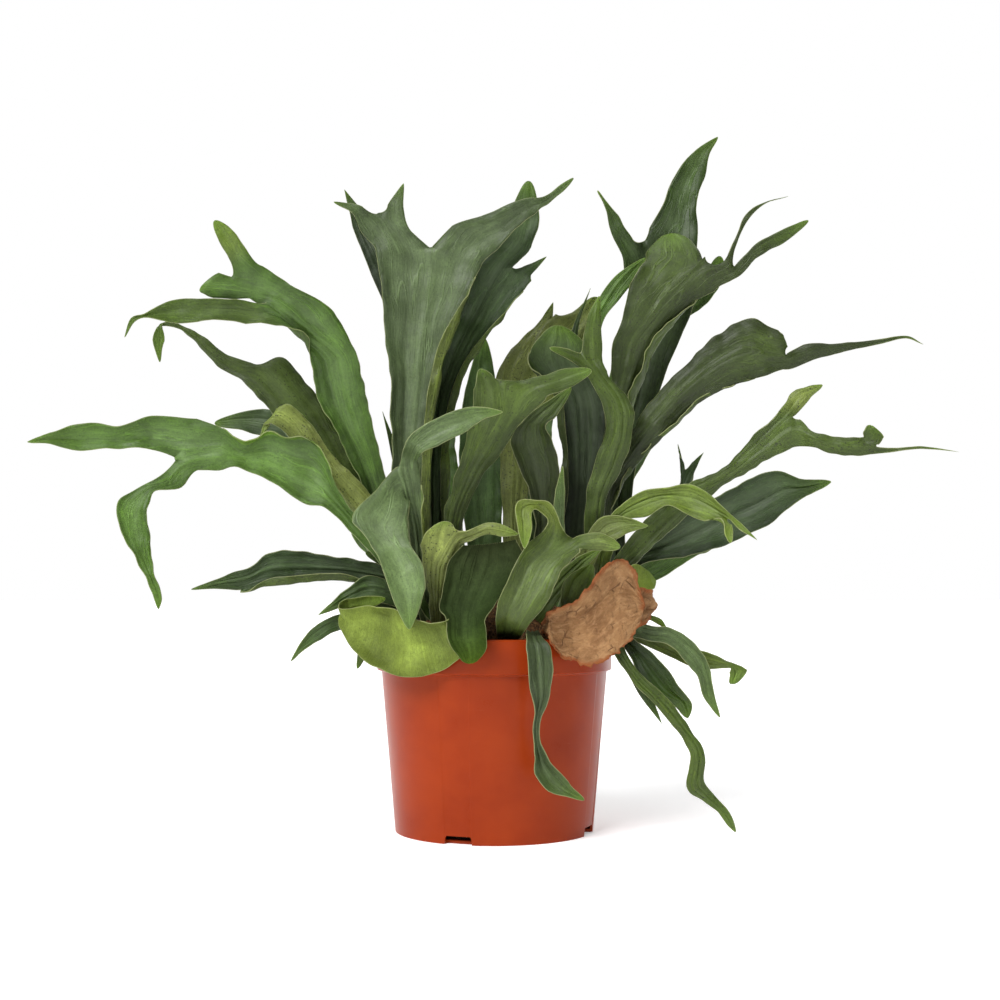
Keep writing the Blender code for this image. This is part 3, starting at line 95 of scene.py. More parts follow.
# Every leaf: its tone, then rows, gaps, lobes and tip in millimetres. This table was not typed by hand.
# A program wrote it, here and in the part's source. The outlines and their layers were given, and
# the program solved the depths so that the layers stay apart, placed the points through the camera given
# below, moved most roots into the crown and rounded to whole millimetres.
FRONDS = {
    "frond_front_left": ("grey", blade(
        [
            (-52, -23, 159, -42, -23, 158, 0), (-56, -26, 162, -43, -26, 160, 1),
            (-64, -40, 201, -50, -40, 201, 2), (-66, -52, 237, -55, -52, 238, 2),
            (-66, -59, 259, -58, -59, 291, 1),
        ],
        gaps=[(-73, -63, 287)],
        lobes=[
            blade(
                [
                    (-66, -71, 248, -89, -71, 269, 3), (-65, -84, 234, -107, -84, 247, 4),
                    (-62, -92, 224, -95, -92, 230, 4), (-54, -96, 212, -86, -96, 215, 5),
                    (-51, -99, 198, -80, -99, 197, 5), (-54, -99, 182, -72, -99, 179, 3),
                ],
                tip=(-63, -94, 162, 0.7),
            ),
            blade(
                [
                    (-68, -73, 306, -54, -73, 297, 2), (-51, -73, 319, -41, -73, 304, 3),
                    (-29, -74, 329, -24, -74, 312, 3), (-9, -72, 331, -7, -72, 324, 2),
                ],
                tip=(7, -68, 329, 0.7),
            ),
        ],
    )),
    "frond_front_centre": ("olive", blade(
        [
            (3, -63, 151, 17, -63, 151, 1), (2, -98, 171, 28, -98, 168, 3),
            (8, -102, 191, 43, -102, 190, 6), (16, -98, 211, 52, -98, 208, 6),
            (26, -92, 227, 63, -92, 220, 4),
        ],
        gaps=[(60, -84, 232)],
        lobes=[
            blade(
                [
                    (41, -88, 240, 52, -88, 237, 2), (33, -94, 251, 41, -94, 257, 2),
                    (28, -100, 249, 19, -100, 257, 3), (28, -104, 236, 17, -104, 242, 3),
                ],
                tip=(23, -104, 222, 0.8),
                tone="lime",
            ),
            blade(
                [
                    (75, -88, 235, 76, -88, 221, -2), (86, -90, 232, 87, -90, 221, 1),
                ],
                tip=(95, -90, 224, 0.5),
                tone="pale",
            ),
        ],
    )),
    "frond_trailing_front": ("grey", blade(
        [
            (36, 21, 160, 26, 21, 157, 1), (36, -100, 157, 24, -100, 157, 1),
            (41, -110, 150, 24, -110, 150, 2), (43, -112, 131, 25, -112, 130, 4),
            (41, -109, 114, 29, -109, 112, 3), (35, -106, 99, 30, -106, 99, 1),
            (34, -104, 87, 29, -104, 85, 1), (39, -105, 71, 29, -105, 69, 3),
            (46, -107, 60, 32, -107, 55, 4), (54, -108, 51, 40, -108, 45, 3),
        ],
        tip=(66, -108, 38, 0.7),
    )),
    "shield_dark": ("dark", blade(
        [
            (17, -70, 230, -24, -70, 226, 3), (23, -77, 216, -34, -77, 213, 6),
            (13, -83, 201, -39, -83, 190, 7), (3, -88, 183, -41, -88, 178, 5),
            (-5, -98, 171, -35, -98, 171, 4), (-5, -115, 157, -34, -115, 155, 4),
            (-6, -110, 147, -27, -110, 144, 3),
        ],
        tip=(-17, -98, 137, 0.45),
    )),
    "shield_lime": ("lime", blade(
        [
            (-13, -63, 149, -18, -63, 151, 0), (-19, -87, 160, -31, -87, 170, 1),
            (-23, -102, 144, -38, -102, 168, 2), (-35, -93, 133, -52, -93, 169, 4),
            (-60, -89, 126, -67, -89, 172, 6), (-86, -78, 132, -82, -78, 179, 7),
            (-109, -64, 146, -103, -64, 178, 8), (-121, -50, 168, -121, -50, 179, 4),
            (-112, -37, 170, -117, -37, 185, -3),
        ],
        tip=(-86, -31, 185, 0.5),
    )),
    "shield_small_green": ("fresh", blade(
        [
            (40, -48, 158, 46, -48, 157, 0), (51, -61, 179, 60, -61, 175, 0),
            (51, -67, 185, 69, -67, 183, 2), (55, -70, 199, 76, -70, 196, 3),
            (66, -68, 208, 77, -68, 205, 2),
        ],
        tip=(75, -64, 211, 0.5),
    )),
    "shield_brown": ("brown", blade(
        [
            (36, -44, 163, 40, -46, 153, 0), (36, -70, 169, 37, -70, 158, 1),
            (39, -92, 175, 40, -92, 153, 3), (47, -92, 179, 46, -92, 143, 6),
            (59, -88, 184, 57, -88, 137, 8), (72, -89, 196, 70, -89, 133, 10),
            (84, -87, 209, 84, -87, 136, 10), (99, -80, 216, 98, -80, 145, 8),
            (110, -71, 204, 109, -71, 158, 4),
        ],
        tip=(116, -66, 179, 0.45),
    )),
    "shield_brown_side": ("brown", blade(
        [
            (48, -48, 152, 48, -48, 150, 0), (74, -67, 172, 74, -67, 164, 1),
            (97, -65, 179, 97, -65, 169, 1), (111, -63, 193, 112, -63, 162, 3),
            (122, -55, 192, 121, -55, 167, 2),
        ],
        tip=(127, -45, 178, 0.45),
    )),
    "shield_lime_right": ("lime", blade(
        [
            (50, -44, 155, 50, -44, 152, 0), (75, -50, 181, 75, -50, 173, 1),
            (96, -43, 199, 99, -43, 188, 1), (109, -37, 212, 115, -37, 190, 2),
            (121, -26, 208, 126, -26, 192, 2),
        ],
        tip=(130, -13, 199, 0.5),
    )),
    "frond_front_wavy": ("pale", blade(
        [
            (-37, -37, 157, -48, -37, 157, 1), (-37, -52, 182, -51, -52, 182, 2),
            (-32, -60, 208, -54, -60, 209, 3), (-26, -64, 225, -57, -64, 226, 2),
        ],
        gaps=[(-28, -66, 238)],
        lobes=[
            blade(
                [
                    (-18, -68, 229, -21, -68, 237, 0), (-5, -70, 234, -5, -70, 243, 0),
                    (8, -70, 232, 8, -70, 241, 0),
                ],
                tip=(19, -70, 234, 0.7),
            ),
            blade(
                [
                    (-31, -68, 241, -51, -68, 237, 2),
                ],
                tip=(-39, -68, 244, 0.5),
            ),
        ],
    )),
    "frond_front_strap": ("olive", blade(
        [
            (14, -40, 162, 28, -40, 154, 0), (28, -54, 179, 39, -54, 168, 1),
            (46, -58, 199, 56, -58, 192, 1), (65, -58, 217, 74, -58, 212, 1),
        ],
        tip=(84, -58, 224, 0.7),
    )),
    "frond_left_long": ("green", blade(
        [
            (-36, -39, 157, -40, -39, 162, 0), (-42, -39, 160, -47, -39, 173, 1),
            (-80, -48, 202, -75, -48, 213, 1), (-106, -49, 231, -100, -49, 241, 1),
            (-131, -51, 255, -121, -51, 270, 2), (-148, -50, 259, -140, -50, 306, 4),
            (-163, -52, 270, -158, -52, 309, 5), (-181, -53, 280, -177, -53, 312, 5),
            (-200, -54, 287, -195, -54, 304, 3), (-217, -55, 285, -209, -55, 316, 3),
            (-229, -56, 285, -233, -56, 325, 3),
        ],
        gaps=[(-249, -58, 294)],
        lobes=[
            blade(
                [
                    (-242, -62, 272, -254, -62, 283, 1), (-262, -68, 267, -277, -68, 268, 2),
                    (-265, -72, 256, -288, -72, 260, 3), (-265, -74, 239, -288, -74, 244, 3),
                    (-263, -76, 220, -279, -76, 224, 3), (-257, -78, 200, -266, -78, 204, 2),
                    (-252, -80, 187, -259, -80, 190, 1),
                ],
                tip=(-254, -80, 177, 0.6),
            ),
            blade(
                [
                    (-269, -58, 301, -267, -58, 327, 3), (-298, -62, 301, -294, -62, 319, 3),
                    (-320, -66, 300, -317, -66, 320, 3), (-342, -70, 304, -338, -70, 314, 1),
                ],
                tip=(-359, -72, 305, 0.8),
            ),
        ],
    )),
    "frond_left_folded": ("pale", blade(
        [
            (-42, -24, 169, -49, -24, 163, 0), (-50, -23, 187, -59, -23, 174, 1),
            (-73, -27, 222, -86, -27, 208, 2), (-97, -31, 265, -115, -31, 247, 3),
            (-120, -33, 290, -137, -33, 274, 3), (-137, -32, 309, -155, -32, 298, 3),
            (-148, -34, 327, -166, -34, 317, 3), (-166, -36, 339, -178, -36, 325, 2),
        ],
        tip=(-185, -36, 315, 0.5),
    )),
    "frond_front_olive": ("under", blade(
        [
            (-24, -12, 166, -36, -12, 166, 1), (-27, -22, 208, -39, -22, 208, 2),
            (-25, -30, 248, -39, -30, 248, 3), (-10, -38, 279, -31, -38, 280, 4),
            (9, -44, 305, -23, -44, 306, 4), (22, -48, 323, -17, -48, 328, 4),
            (40, -50, 341, -16, -50, 349, 3),
        ],
        gaps=[(6, -50, 357)],
        lobes=[
            blade(
                [
                    (53, -52, 347, 36, -52, 359, 1), (67, -54, 354, 56, -54, 365, 1),
                ],
                tip=(76, -55, 364, 0.5),
            ),
            blade(
                [
                    (-2, -52, 361, -14, -52, 358, 0),
                ],
                tip=(-11, -52, 365, 0.6),
            ),
        ],
    )),
    "frond_front_curl": ("pale", blade(
        [
            (51, -17, 167, 59, -17, 165, 0), (57, -20, 181, 67, -20, 176, 1),
            (63, -34, 211, 77, -34, 207, 2), (73, -40, 233, 88, -40, 229, 2),
            (84, -42, 248, 98, -42, 232, 2), (101, -43, 249, 108, -43, 238, 2),
        ],
        tip=(121, -44, 242, 0.7),
    )),
    "frond_small_pale": ("grey", blade(
        [
            (47, -8, 170, 55, -8, 169, 0), (53, -10, 185, 63, -10, 184, 0),
            (48, -18, 232, 58, -18, 232, 1), (48, -22, 254, 56, -22, 255, 1),
            (50, -24, 272, 56, -24, 273, 1),
        ],
        tip=(55, -24, 291, 0.8),
    )),
    "frond_right_fresh": ("fresh", blade(
        [
            (59, -10, 162, 67, -10, 159, 0), (76, -12, 195, 85, -12, 189, 1),
            (82, -25, 225, 94, -25, 220, 1), (93, -34, 252, 103, -34, 245, 2),
            (113, -39, 267, 120, -39, 252, 3), (135, -42, 272, 138, -42, 258, 4),
            (157, -46, 273, 157, -46, 248, 5), (172, -52, 263, 164, -52, 245, 2),
        ],
        gaps=[(181, -56, 247)],
        lobes=[
            blade(
                [
                    (185, -58, 249, 184, -58, 245, 0), (195, -62, 239, 192, -62, 237, 0),
                ],
                tip=(203, -64, 230, 0.8),
            ),
            blade(
                [
                    (184, -60, 242, 175, -60, 247, 1), (184, -64, 234, 178, -64, 235, 1),
                ],
                tip=(182, -66, 228, 0.5),
                tone="lime",
            ),
        ],
    )),
    "frond_centre_pale": ("under", blade(
        [
            (68, -6, 160, 58, -6, 159, 0), (86, -6, 192, 74, -6, 190, 1),
            (87, -16, 232, 73, -16, 231, 2), (90, -24, 266, 74, -24, 266, 3),
            (101, -28, 289, 82, -28, 295, 3), (110, -32, 317, 88, -32, 321, 4),
            (108, -33, 343, 86, -33, 341, 3), (89, -33, 361, 73, -33, 366, 1),
        ],
        gaps=[(69, -34, 381)],
        lobes=[
            blade(
                [
                    (87, -35, 389, 71, -35, 394, 2), (85, -36, 409, 75, -36, 409, 2),
                ],
                tip=(84, -36, 426, 0.8),
            ),
            blade(
                [
                    (60, -37, 383, 57, -37, 376, 1),
                ],
                tip=(44, -39, 384, 0.5),
            ),
        ],
    )),
    "frond_centre_curved": ("olive", blade(
        [
            (35, 0, 176, 43, 0, 175, 0), (37, 0, 184, 47, 0, 182, 1), (32, -10, 226, 50, -10, 226, 3),
            (30, -16, 264, 49, -16, 262, 5), (20, -20, 291, 52, -20, 290, 6),
            (14, -22, 312, 46, -22, 312, 6), (20, -23, 325, 42, -23, 323, 4),
            (32, -22, 336, 50, -22, 332, 2),
        ],
        tip=(62, -20, 355, 0.6),
    )),
    "frond_right_curly": ("under", blade(
        [
            (70, -3, 158, 62, -3, 160, 0), (88, 0, 189, 80, 0, 192, 1), (106, -6, 206, 96, -6, 214, 2),
            (130, -14, 228, 115, -14, 241, 2), (155, -22, 253, 139, -22, 264, 3),
            (174, -26, 267, 158, -26, 278, 3), (193, -30, 282, 183, -30, 290, 3),
            (213, -34, 294, 203, -34, 310, 4), (235, -38, 303, 216, -38, 323, 3),
        ],
        gaps=[(237, -38, 329)],
        lobes=[
            blade(
                [
                    (246, -42, 305, 242, -42, 326, 3), (254, -45, 305, 250, -45, 317, 3),
                    (267, -48, 298, 262, -48, 312, 3), (285, -52, 296, 283, -52, 310, 2),
                    (292, -53, 297, 289, -53, 311, 1),
                ],
                gaps=[(298, -54, 304)],
                lobes=[
                    blade(
                        [
                            (311, -55, 299, 311, -55, 302, 0), (335, -60, 301, 335, -60, 303, 0),
                        ],
                        tip=(360, -64, 298, 0.9),
                    ),
                    blade(
                        [
                            (304, -56, 311, 288, -56, 315, 0),
                        ],
                        tip=(294, -56, 320, 0.5),
                        tone="dark",
                    ),
                ],
            ),
            blade(
                [
                    (241, -36, 332, 231, -36, 339, 1), (251, -34, 343, 238, -34, 350, 2),
                ],
                tip=(262, -32, 355, 0.7),
                tone="pale",
            ),
        ],
    )),
    "frond_left_low": ("dark", blade(
        [
            (-34, -10, 168, -37, -10, 174, 0), (-39, -8, 179, -42, -8, 192, 1),
            (-77, -15, 192, -82, -15, 209, 2), (-111, -19, 200, -116, -19, 216, 3),
            (-139, -20, 200, -141, -20, 220, 3), (-161, -24, 198, -162, -24, 223, 4),
            (-183, -26, 196, -180, -26, 221, 3), (-199, -28, 193, -194, -28, 210, 2),
            (-222, -30, 193, -214, -30, 202, 1),
        ],
        tip=(-240, -32, 192, 0.8),
    )),
    "frond_left_small": ("dark", blade(
        [
            (-37, -13, 166, -40, -13, 172, 0), (-39, -13, 166, -42, -13, 179, 1),
            (-72, -21, 177, -77, -21, 196, 2), (-97, -26, 182, -102, -26, 203, 2),
            (-118, -30, 179, -118, -30, 191, 1),
        ],
        tip=(-139, -33, 172, 0.8),
    )),
    "frond_left_small_low": ("dark", blade(
        [
            (-41, -7, 163, -45, -7, 170, -2), (-44, -8, 164, -49, -8, 179, -4),
            (-76, -14, 172, -81, -14, 189, -3), (-101, -20, 160, -106, -20, 176, 1),
            (-123, -24, 160, -129, -24, 171, 1), (-138, -26, 152, -144, -26, 162, 1),
            (-148, -28, 147, -151, -28, 153, 1),
        ],
        tip=(-161, -30, 135, 0.8),
    )),
    "leaf_left_tiny": ("dark", blade(
        [
            (-50, -4, 162, -53, -4, 166, 0), (-54, -2, 164, -57, -2, 174, 0),
            (-87, 0, 169, -88, 0, 179, 0), (-104, 0, 159, -108, 0, 171, 0),
            (-103, 0, 142, -111, 0, 143, 0),
        ],
        tip=(-111, 0, 128, 0.5),
    )),
    "leaf_left_round": ("dark", blade(
        [
            (-37, -2, 169, -41, -2, 173, 0), (-41, -2, 179, -46, -2, 187, 0),
            (-73, -8, 193, -75, -8, 206, 1), (-91, -6, 210, -90, -6, 223, 1),
        ],
        tip=(-105, -2, 222, 0.5),
    )),
    "frond_centre_tall": ("grey", blade(
        [
            (-62, 15, 156, -49, 15, 155, 1), (-74, 10, 164, -58, 10, 162, 2),
            (-78, -3, 208, -55, -3, 206, 4), (-80, -13, 264, -53, -13, 264, 6),
            (-84, -16, 325, -51, -16, 323, 8), (-84, -16, 358, -46, -16, 358, 8),
            (-88, -15, 391, -39, -15, 388, 8), (-91, -13, 428, -26, -13, 426, 8),
            (-97, -11, 468, -12, -11, 457, 6),
        ],
        gaps=[(-52, -10, 474)],
        lobes=[
            blade(
                [
                    (-111, -8, 488, -68, -8, 486, 3),
                ],
                gaps=[(-96, -8, 503)],
                lobes=[
                    blade(
                        [
                            (-117, -10, 501, -109, -10, 507, 0),
                        ],
                        tip=(-132, -12, 510, 0.6),
                    ),
                    blade(
                        [
                            (-88, -8, 509, -75, -8, 507, 0),
                        ],
                        tip=(-75, -8, 527, 0.8),
                    ),
                ],
            ),
            blade(
                [
                    (-35, -8, 491, 1, -8, 471, 3), (-5, -4, 502, 17, -4, 488, 3),
                    (21, 0, 515, 34, 0, 506, 2), (42, 2, 519, 45, 2, 514, 1),
                    (55, 4, 529, 59, 4, 525, 0),
                ],
                tip=(66, 4, 535, 0.5),
            ),
        ],
    )),
    "frond_left_arching": ("green", blade(
        [
            (-52, 12, 165, -40, 12, 164, 1), (-58, 12, 171, -43, 12, 170, 2),
            (-84, 4, 216, -63, 4, 220, 3), (-101, -5, 257, -80, -5, 260, 4),
            (-118, -15, 301, -94, -15, 303, 5), (-141, -24, 343, -103, -24, 346, 6),
            (-146, -32, 371, -110, -32, 379, 6), (-147, -42, 391, -127, -42, 411, 3),
        ],
        gaps=[(-180, -50, 418)],
        lobes=[
            blade(
                [
                    (-200, -54, 403, -203, -54, 420, 3), (-226, -60, 401, -230, -60, 419, 3),
                    (-251, -64, 401, -253, -64, 416, 2), (-269, -68, 402, -272, -68, 406, 1),
                    (-278, -72, 398, -281, -72, 401, 0),
                ],
                tip=(-285, -74, 386, 0.6),
                tone="under",
            ),
            blade(
                [
                    (-194, -44, 422, -162, -44, 434, 3), (-222, -48, 422, -184, -48, 448, 2),
                ],
                gaps=[(-208, -50, 439)],
                lobes=[
                    blade(
                        [
                            (-228, -50, 424, -218, -50, 442, 0),
                        ],
                        tip=(-232, -51, 430, 0.5),
                    ),
                    blade(
                        [
                            (-210, -50, 454, -198, -50, 464, 1), (-219, -52, 469, -207, -52, 476, 1),
                        ],
                        tip=(-221, -54, 483, 0.5),
                        tone="fresh",
                    ),
                ],
            ),
        ],
    )),
    "frond_right_long": ("under", blade(
        [
            (68, 10, 158, 61, 10, 159, 0), (89, 11, 190, 79, 11, 192, 1), (92, 5, 233, 80, 5, 239, 2),
            (96, -2, 263, 86, -2, 272, 3), (113, -9, 291, 110, -9, 317, 4),
            (135, -14, 315, 131, -14, 348, 5), (162, -18, 341, 160, -18, 379, 5),
            (189, -20, 356, 185, -20, 400, 5), (213, -22, 363, 205, -22, 410, 5),
            (233, -24, 369, 229, -24, 400, 3),
        ],
        gaps=[(235, -24, 380)],
        lobes=[
            blade(
                [
                    (257, -26, 376, 249, -26, 389, 2), (286, -30, 384, 278, -30, 389, 1),
                    (313, -34, 389, 310, -34, 392, 0), (330, -36, 392, 331, -36, 394, 0),
                ],
                tip=(342, -38, 387, 0.8),
            ),
            blade(
                [
                    (236, -24, 387, 232, -24, 395, 0),
                ],
                tip=(235, -24, 391, 0.5),
            ),
        ],
    )),
    "frond_left_olive": ("under", blade(
        [
            (-45, 18, 166, -53, 18, 163, 0), (-52, 18, 179, -62, 18, 172, 1),
            (-78, 13, 217, -91, 13, 207, 2), (-99, 7, 259, -119, 7, 249, 3),
            (-118, 1, 302, -146, 1, 290, 4), (-136, -4, 338, -171, -4, 322, 5),
            (-153, -6, 359, -188, -6, 345, 5), (-173, -8, 381, -203, -8, 359, 5),
            (-196, -10, 376, -221, -10, 371, 3), (-222, -12, 386, -237, -12, 386, 2),
            (-241, -14, 400, -250, -14, 399, 1), (-260, -16, 409, -261, -16, 405, 0),
            (-269, -18, 408, -272, -18, 405, 0), (-267, -20, 393, -277, -20, 394, 1),
        ],
        tip=(-271, -20, 376, 0.8),
    )),
    "frond_centre_dark": ("dark", blade(
        [
            (-52, 16, 165, -40, 16, 164, 0), (-55, 22, 167, -40, 22, 165, 1),
            (-57, 16, 217, -40, 16, 215, 2), (-58, 12, 266, -39, 12, 266, 3),
            (-56, 10, 316, -38, 10, 316, 4), (-50, 8, 357, -28, 8, 364, 4),
            (-38, 10, 399, -7, 10, 401, 5), (-25, 12, 433, 16, 12, 432, 5),
            (-14, 14, 461, 31, 14, 450, 4),
        ],
        gaps=[(15, 14, 463)],
        lobes=[
            blade(
                [
                    (1, 16, 482, 30, 16, 480, 3), (10, 18, 500, 37, 18, 498, 3),
                    (16, 20, 516, 37, 20, 514, 2),
                ],
                tip=(29, 22, 538, 0.5),
            ),
            blade(
                [
                    (25, 16, 463, 31, 16, 456, 0),
                ],
                tip=(44, 18, 472, 0.8),
            ),
        ],
    )),
    "frond_right_dark": ("dark", blade(
        [
            (68, 13, 157, 71, 13, 151, 0), (92, 18, 197, 96, 18, 184, 1),
            (105, 13, 220, 120, 13, 212, 3), (143, 9, 246, 161, 9, 220, 5),
            (183, 5, 269, 190, 5, 230, 6), (208, 3, 281, 222, 3, 244, 6),
            (232, 0, 289, 243, 0, 260, 4), (249, -2, 282, 255, -2, 269, 2),
        ],
        tip=(275, -4, 280, 0.8),
    )),
    "frond_right_olive": ("under", blade(
        [
            (67, 17, 157, 59, 17, 157, 0), (88, 22, 194, 78, 22, 192, 1),
            (93, 17, 242, 79, 17, 242, 2), (101, 12, 291, 86, 12, 291, 3),
            (114, 10, 347, 96, 10, 357, 4), (126, 10, 374, 97, 10, 378, 4),
            (137, 8, 399, 99, 8, 397, 4), (162, 4, 428, 105, 4, 413, 5), (182, 0, 438, 112, 0, 444, 4),
        ],
        gaps=[(174, 0, 467)],
        lobes=[
            blade(
                [
                    (197, -4, 447, 183, -4, 459, 1),
                ],
                gaps=[(198, -4, 458)],
                lobes=[
                    blade(
                        [
                            (219, -6, 467, 212, -6, 473, 1), (240, -8, 478, 230, -8, 484, 1),
                        ],
                        tip=(258, -10, 495, 0.5),
                    ),
                    blade(
                        [
                            (201, -4, 479, 198, -4, 480, 0), (212, -2, 500, 208, -2, 502, 0),
                            (226, 0, 512, 223, 0, 512, 0),
                        ],
                        tip=(244, 0, 518, 0.9),
                    ),
                ],
            ),
            blade(
                [
                    (178, 6, 459, 125, 6, 464, 2), (169, 16, 479, 129, 16, 477, 3),
                ],
                tip=(150, 24, 493, 0.5),
            ),
        ],
    )),
    "frond_right_strap": ("green", blade(
        [
            (59, 26, 155, 67, 26, 153, 0), (82, 35, 197, 92, 35, 192, 1),
            (76, 30, 251, 88, 30, 251, 1), (74, 27, 318, 87, 27, 318, 1),
            (74, 24, 376, 89, 24, 378, 1), (75, 21, 408, 90, 21, 413, 1),
            (87, 19, 435, 105, 19, 435, 1), (104, 17, 457, 119, 17, 455, 1),
        ],
        tip=(127, 18, 471, 0.6),
    )),
    "frond_back_dark": ("dark", blade(
        [
            (47, 22, 161, 61, 22, 161, 0), (56, 28, 179, 73, 28, 178, 1),
            (57, 24, 217, 80, 24, 217, 2), (58, 22, 257, 85, 22, 257, 3),
            (58, 20, 292, 90, 20, 290, 4), (56, 18, 325, 93, 18, 323, 5),
            (52, 16, 352, 91, 16, 352, 5), (38, 14, 373, 83, 14, 371, 4),
            (30, 10, 389, 79, 10, 388, 3), (38, 8, 402, 74, 8, 397, 2),
        ],
        tip=(54, 8, 411, 0.5),
    )),
    "frond_right_tall": ("green", blade(
        [
            (52, 42, 150, 58, 42, 149, 0), (94, 57, 195, 107, 57, 192, 1),
            (96, 36, 242, 111, 36, 242, 2), (101, 34, 293, 119, 34, 293, 3),
            (108, 32, 344, 133, 32, 344, 4), (116, 30, 395, 153, 30, 395, 5),
            (115, 28, 437, 169, 28, 435, 5), (109, 26, 467, 172, 26, 474, 4),
        ],
        gaps=[(127, 26, 488)],
        lobes=[
            blade(
                [
                    (99, 24, 493, 116, 24, 490, 1), (95, 22, 511, 104, 22, 508, 1),
                ],
                tip=(87, 20, 529, 0.9),
            ),
            blade(
                [
                    (132, 28, 499, 173, 28, 495, 4), (145, 32, 524, 172, 32, 518, 4),
                    (157, 36, 551, 180, 36, 548, 3), (174, 40, 571, 186, 40, 568, 1),
                ],
                tip=(193, 42, 583, 0.8),
            ),
        ],
    )),
    "frond_back_thin": ("dark", blade(
        [
            (-46, 29, 163, -40, 29, 163, 0), (-56, 36, 179, -47, 36, 179, 0),
            (-76, 34, 251, -68, 34, 251, 0), (-88, 34, 310, -81, 34, 308, 0),
        ],
        tip=(-95, 36, 343, 0.9),
    )),
    "frond_back_tall_left": ("dark", blade(
        [
            (-44, 33, 162, -32, 33, 161, 0), (-54, 42, 180, -39, 42, 179, 1),
            (-73, 44, 243, -56, 44, 243, 1), (-81, 46, 311, -60, 46, 311, 1),
            (-85, 50, 372, -61, 50, 372, 1), (-92, 54, 427, -68, 54, 434, 1),
            (-107, 56, 465, -80, 56, 476, 1), (-124, 60, 509, -102, 60, 506, 1),
        ],
        tip=(-132, 64, 543, 1),
    )),
    "frond_back_left": ("dark", blade(
        [
            (-31, 39, 164, -26, 39, 169, 0), (-38, 48, 184, -31, 48, 194, 1),
            (-77, 52, 228, -64, 52, 243, 1), (-129, 58, 280, -114, 58, 295, 1),
            (-177, 64, 318, -165, 64, 336, 1), (-215, 68, 329, -203, 68, 349, 2),
        ],
        tip=(-244, 70, 338, 0.5),
    )),
    "frond_right_behind": ("green", blade(
        [
            (49, 45, 150, 55, 45, 149, 0), (91, 63, 192, 103, 63, 189, 1),
            (85, 52, 252, 100, 52, 252, 1), (91, 54, 312, 109, 54, 312, 2),
            (101, 56, 364, 122, 56, 364, 2), (126, 58, 408, 157, 58, 419, 2),
            (165, 60, 447, 190, 60, 446, 2), (183, 62, 467, 200, 62, 469, 1),
        ],
        tip=(196, 62, 483, 0.45),
    )),
    "frond_back_spike": ("dark", blade(
        [
            (47, 48, 151, 50, 48, 151, 0), (77, 69, 183, 84, 69, 183, 0),
            (73, 55, 252, 81, 55, 252, 0), (70, 48, 320, 78, 48, 320, 0),
            (65, 50, 379, 73, 50, 379, 0), (66, 52, 414, 72, 52, 414, 0),
        ],
        tip=(83, 54, 453, 1),
    )),
    "frond_back_spiky": ("pale", blade(
        [
            (22, 41, 170, 10, 41, 170, 0), (25, 46, 178, 10, 46, 178, 1), (25, 50, 226, 8, 50, 226, 2),
            (30, 54, 278, 6, 54, 278, 3), (43, 58, 330, 3, 58, 330, 4), (65, 62, 370, 1, 62, 376, 4),
            (85, 66, 405, 15, 66, 401, 3),
        ],
        gaps=[(54, 66, 431)],
        lobes=[
            blade(
                [
                    (92, 68, 423, 70, 68, 437, 1),
                ],
                tip=(91, 70, 448, 0.5),
            ),
            blade(
                [
                    (50, 66, 427, 33, 66, 419, 0),
                ],
                tip=(51, 66, 443, 0.9),
            ),
        ],
    )),
    "frond_back_mid": ("dark", blade(
        [
            (-13, 44, 169, 4, 44, 169, 0), (-16, 52, 184, 5, 52, 182, 1),
            (-26, 57, 252, 6, 57, 252, 2), (-30, 62, 322, 7, 62, 322, 3),
            (-24, 66, 371, 1, 66, 371, 3),
        ],
        tip=(-9, 69, 412, 0.6),
    )),
    "frond_right_spikes": ("dark", blade(
        [
            (71, 7, 153, 75, 7, 149, 0), (96, 7, 198, 101, 7, 192, 0), (120, 6, 231, 126, 6, 225, 0),
            (143, 5, 261, 150, 5, 254, 0), (153, 5, 280, 162, 5, 281, 0),
        ],
        gaps=[(157, 7, 291)],
        lobes=[
            blade(
                [
                    (153, 9, 294, 157, 9, 297, 0),
                ],
                tip=(152, 12, 313, 1),
            ),
            blade(
                [
                    (164, 14, 298, 168, 14, 294, 0),
                ],
                tip=(174, 16, 306, 1),
            ),
        ],
    )),
    "frond_trailing_long": ("under", blade(
        [
            (49, -44, 151, 53, -44, 153, 0), (68, -56, 158, 74, -56, 164, 0),
            (85, -61, 159, 90, -61, 165, 1), (92, -70, 144, 98, -70, 147, 1),
            (105, -75, 122, 114, -75, 126, 1), (120, -76, 107, 131, -76, 109, 1),
            (136, -76, 88, 146, -76, 90, 2), (149, -75, 69, 158, -75, 70, 2),
            (148, -74, 56, 158, -74, 57, 2), (146, -73, 44, 158, -73, 47, 2),
            # camera: place in metres, rise above level in degrees, lens and sensor in millimetres. The
            # place and the rise come from a least-squares fit to the pot.
            (157, -70, 33, 168, -70, 36, 1), (172, -66, 21, 178, -66, 23, 1),
        ],
        tip=(184, -60, 8, 0.8),
    )),
    "frond_trailing_dark": ("gloss", blade(
        [
            (56, -41, 155, 53, -41, 152, 0), (75, -51, 167, 70, -51, 159, 1),
            (91, -56, 167, 87, -56, 159, 2), (116, -66, 146, 103, -66, 141, 3),
            (130, -67, 133, 112, -67, 123, 4), (142, -65, 118, 123, -65, 109, 4),
            (152, -60, 104, 138, -60, 103, 2),
        ],
        tip=(149, -55, 93, 0.6),
    )),
    "frond_trailing_thin": ("dark", blade(
        [
            (62, -30, 157, 58, -30, 154, 0), (72, -34, 165, 68, -34, 159, 0),
            (89, -44, 163, 84, -44, 157, 0), (109, -50, 131, 103, -50, 128, 0),
            (118, -52, 117, 111, -52, 113, 0), (124, -52, 105, 117, -52, 104, 0),
        ],
        tip=(130, -50, 88, 0.9),
    )),
    "frond_trailing_right": ("grey", blade(
        [
            (58, -36, 157, 57, -36, 153, 0), (75, -44, 171, 73, -44, 162, 1),
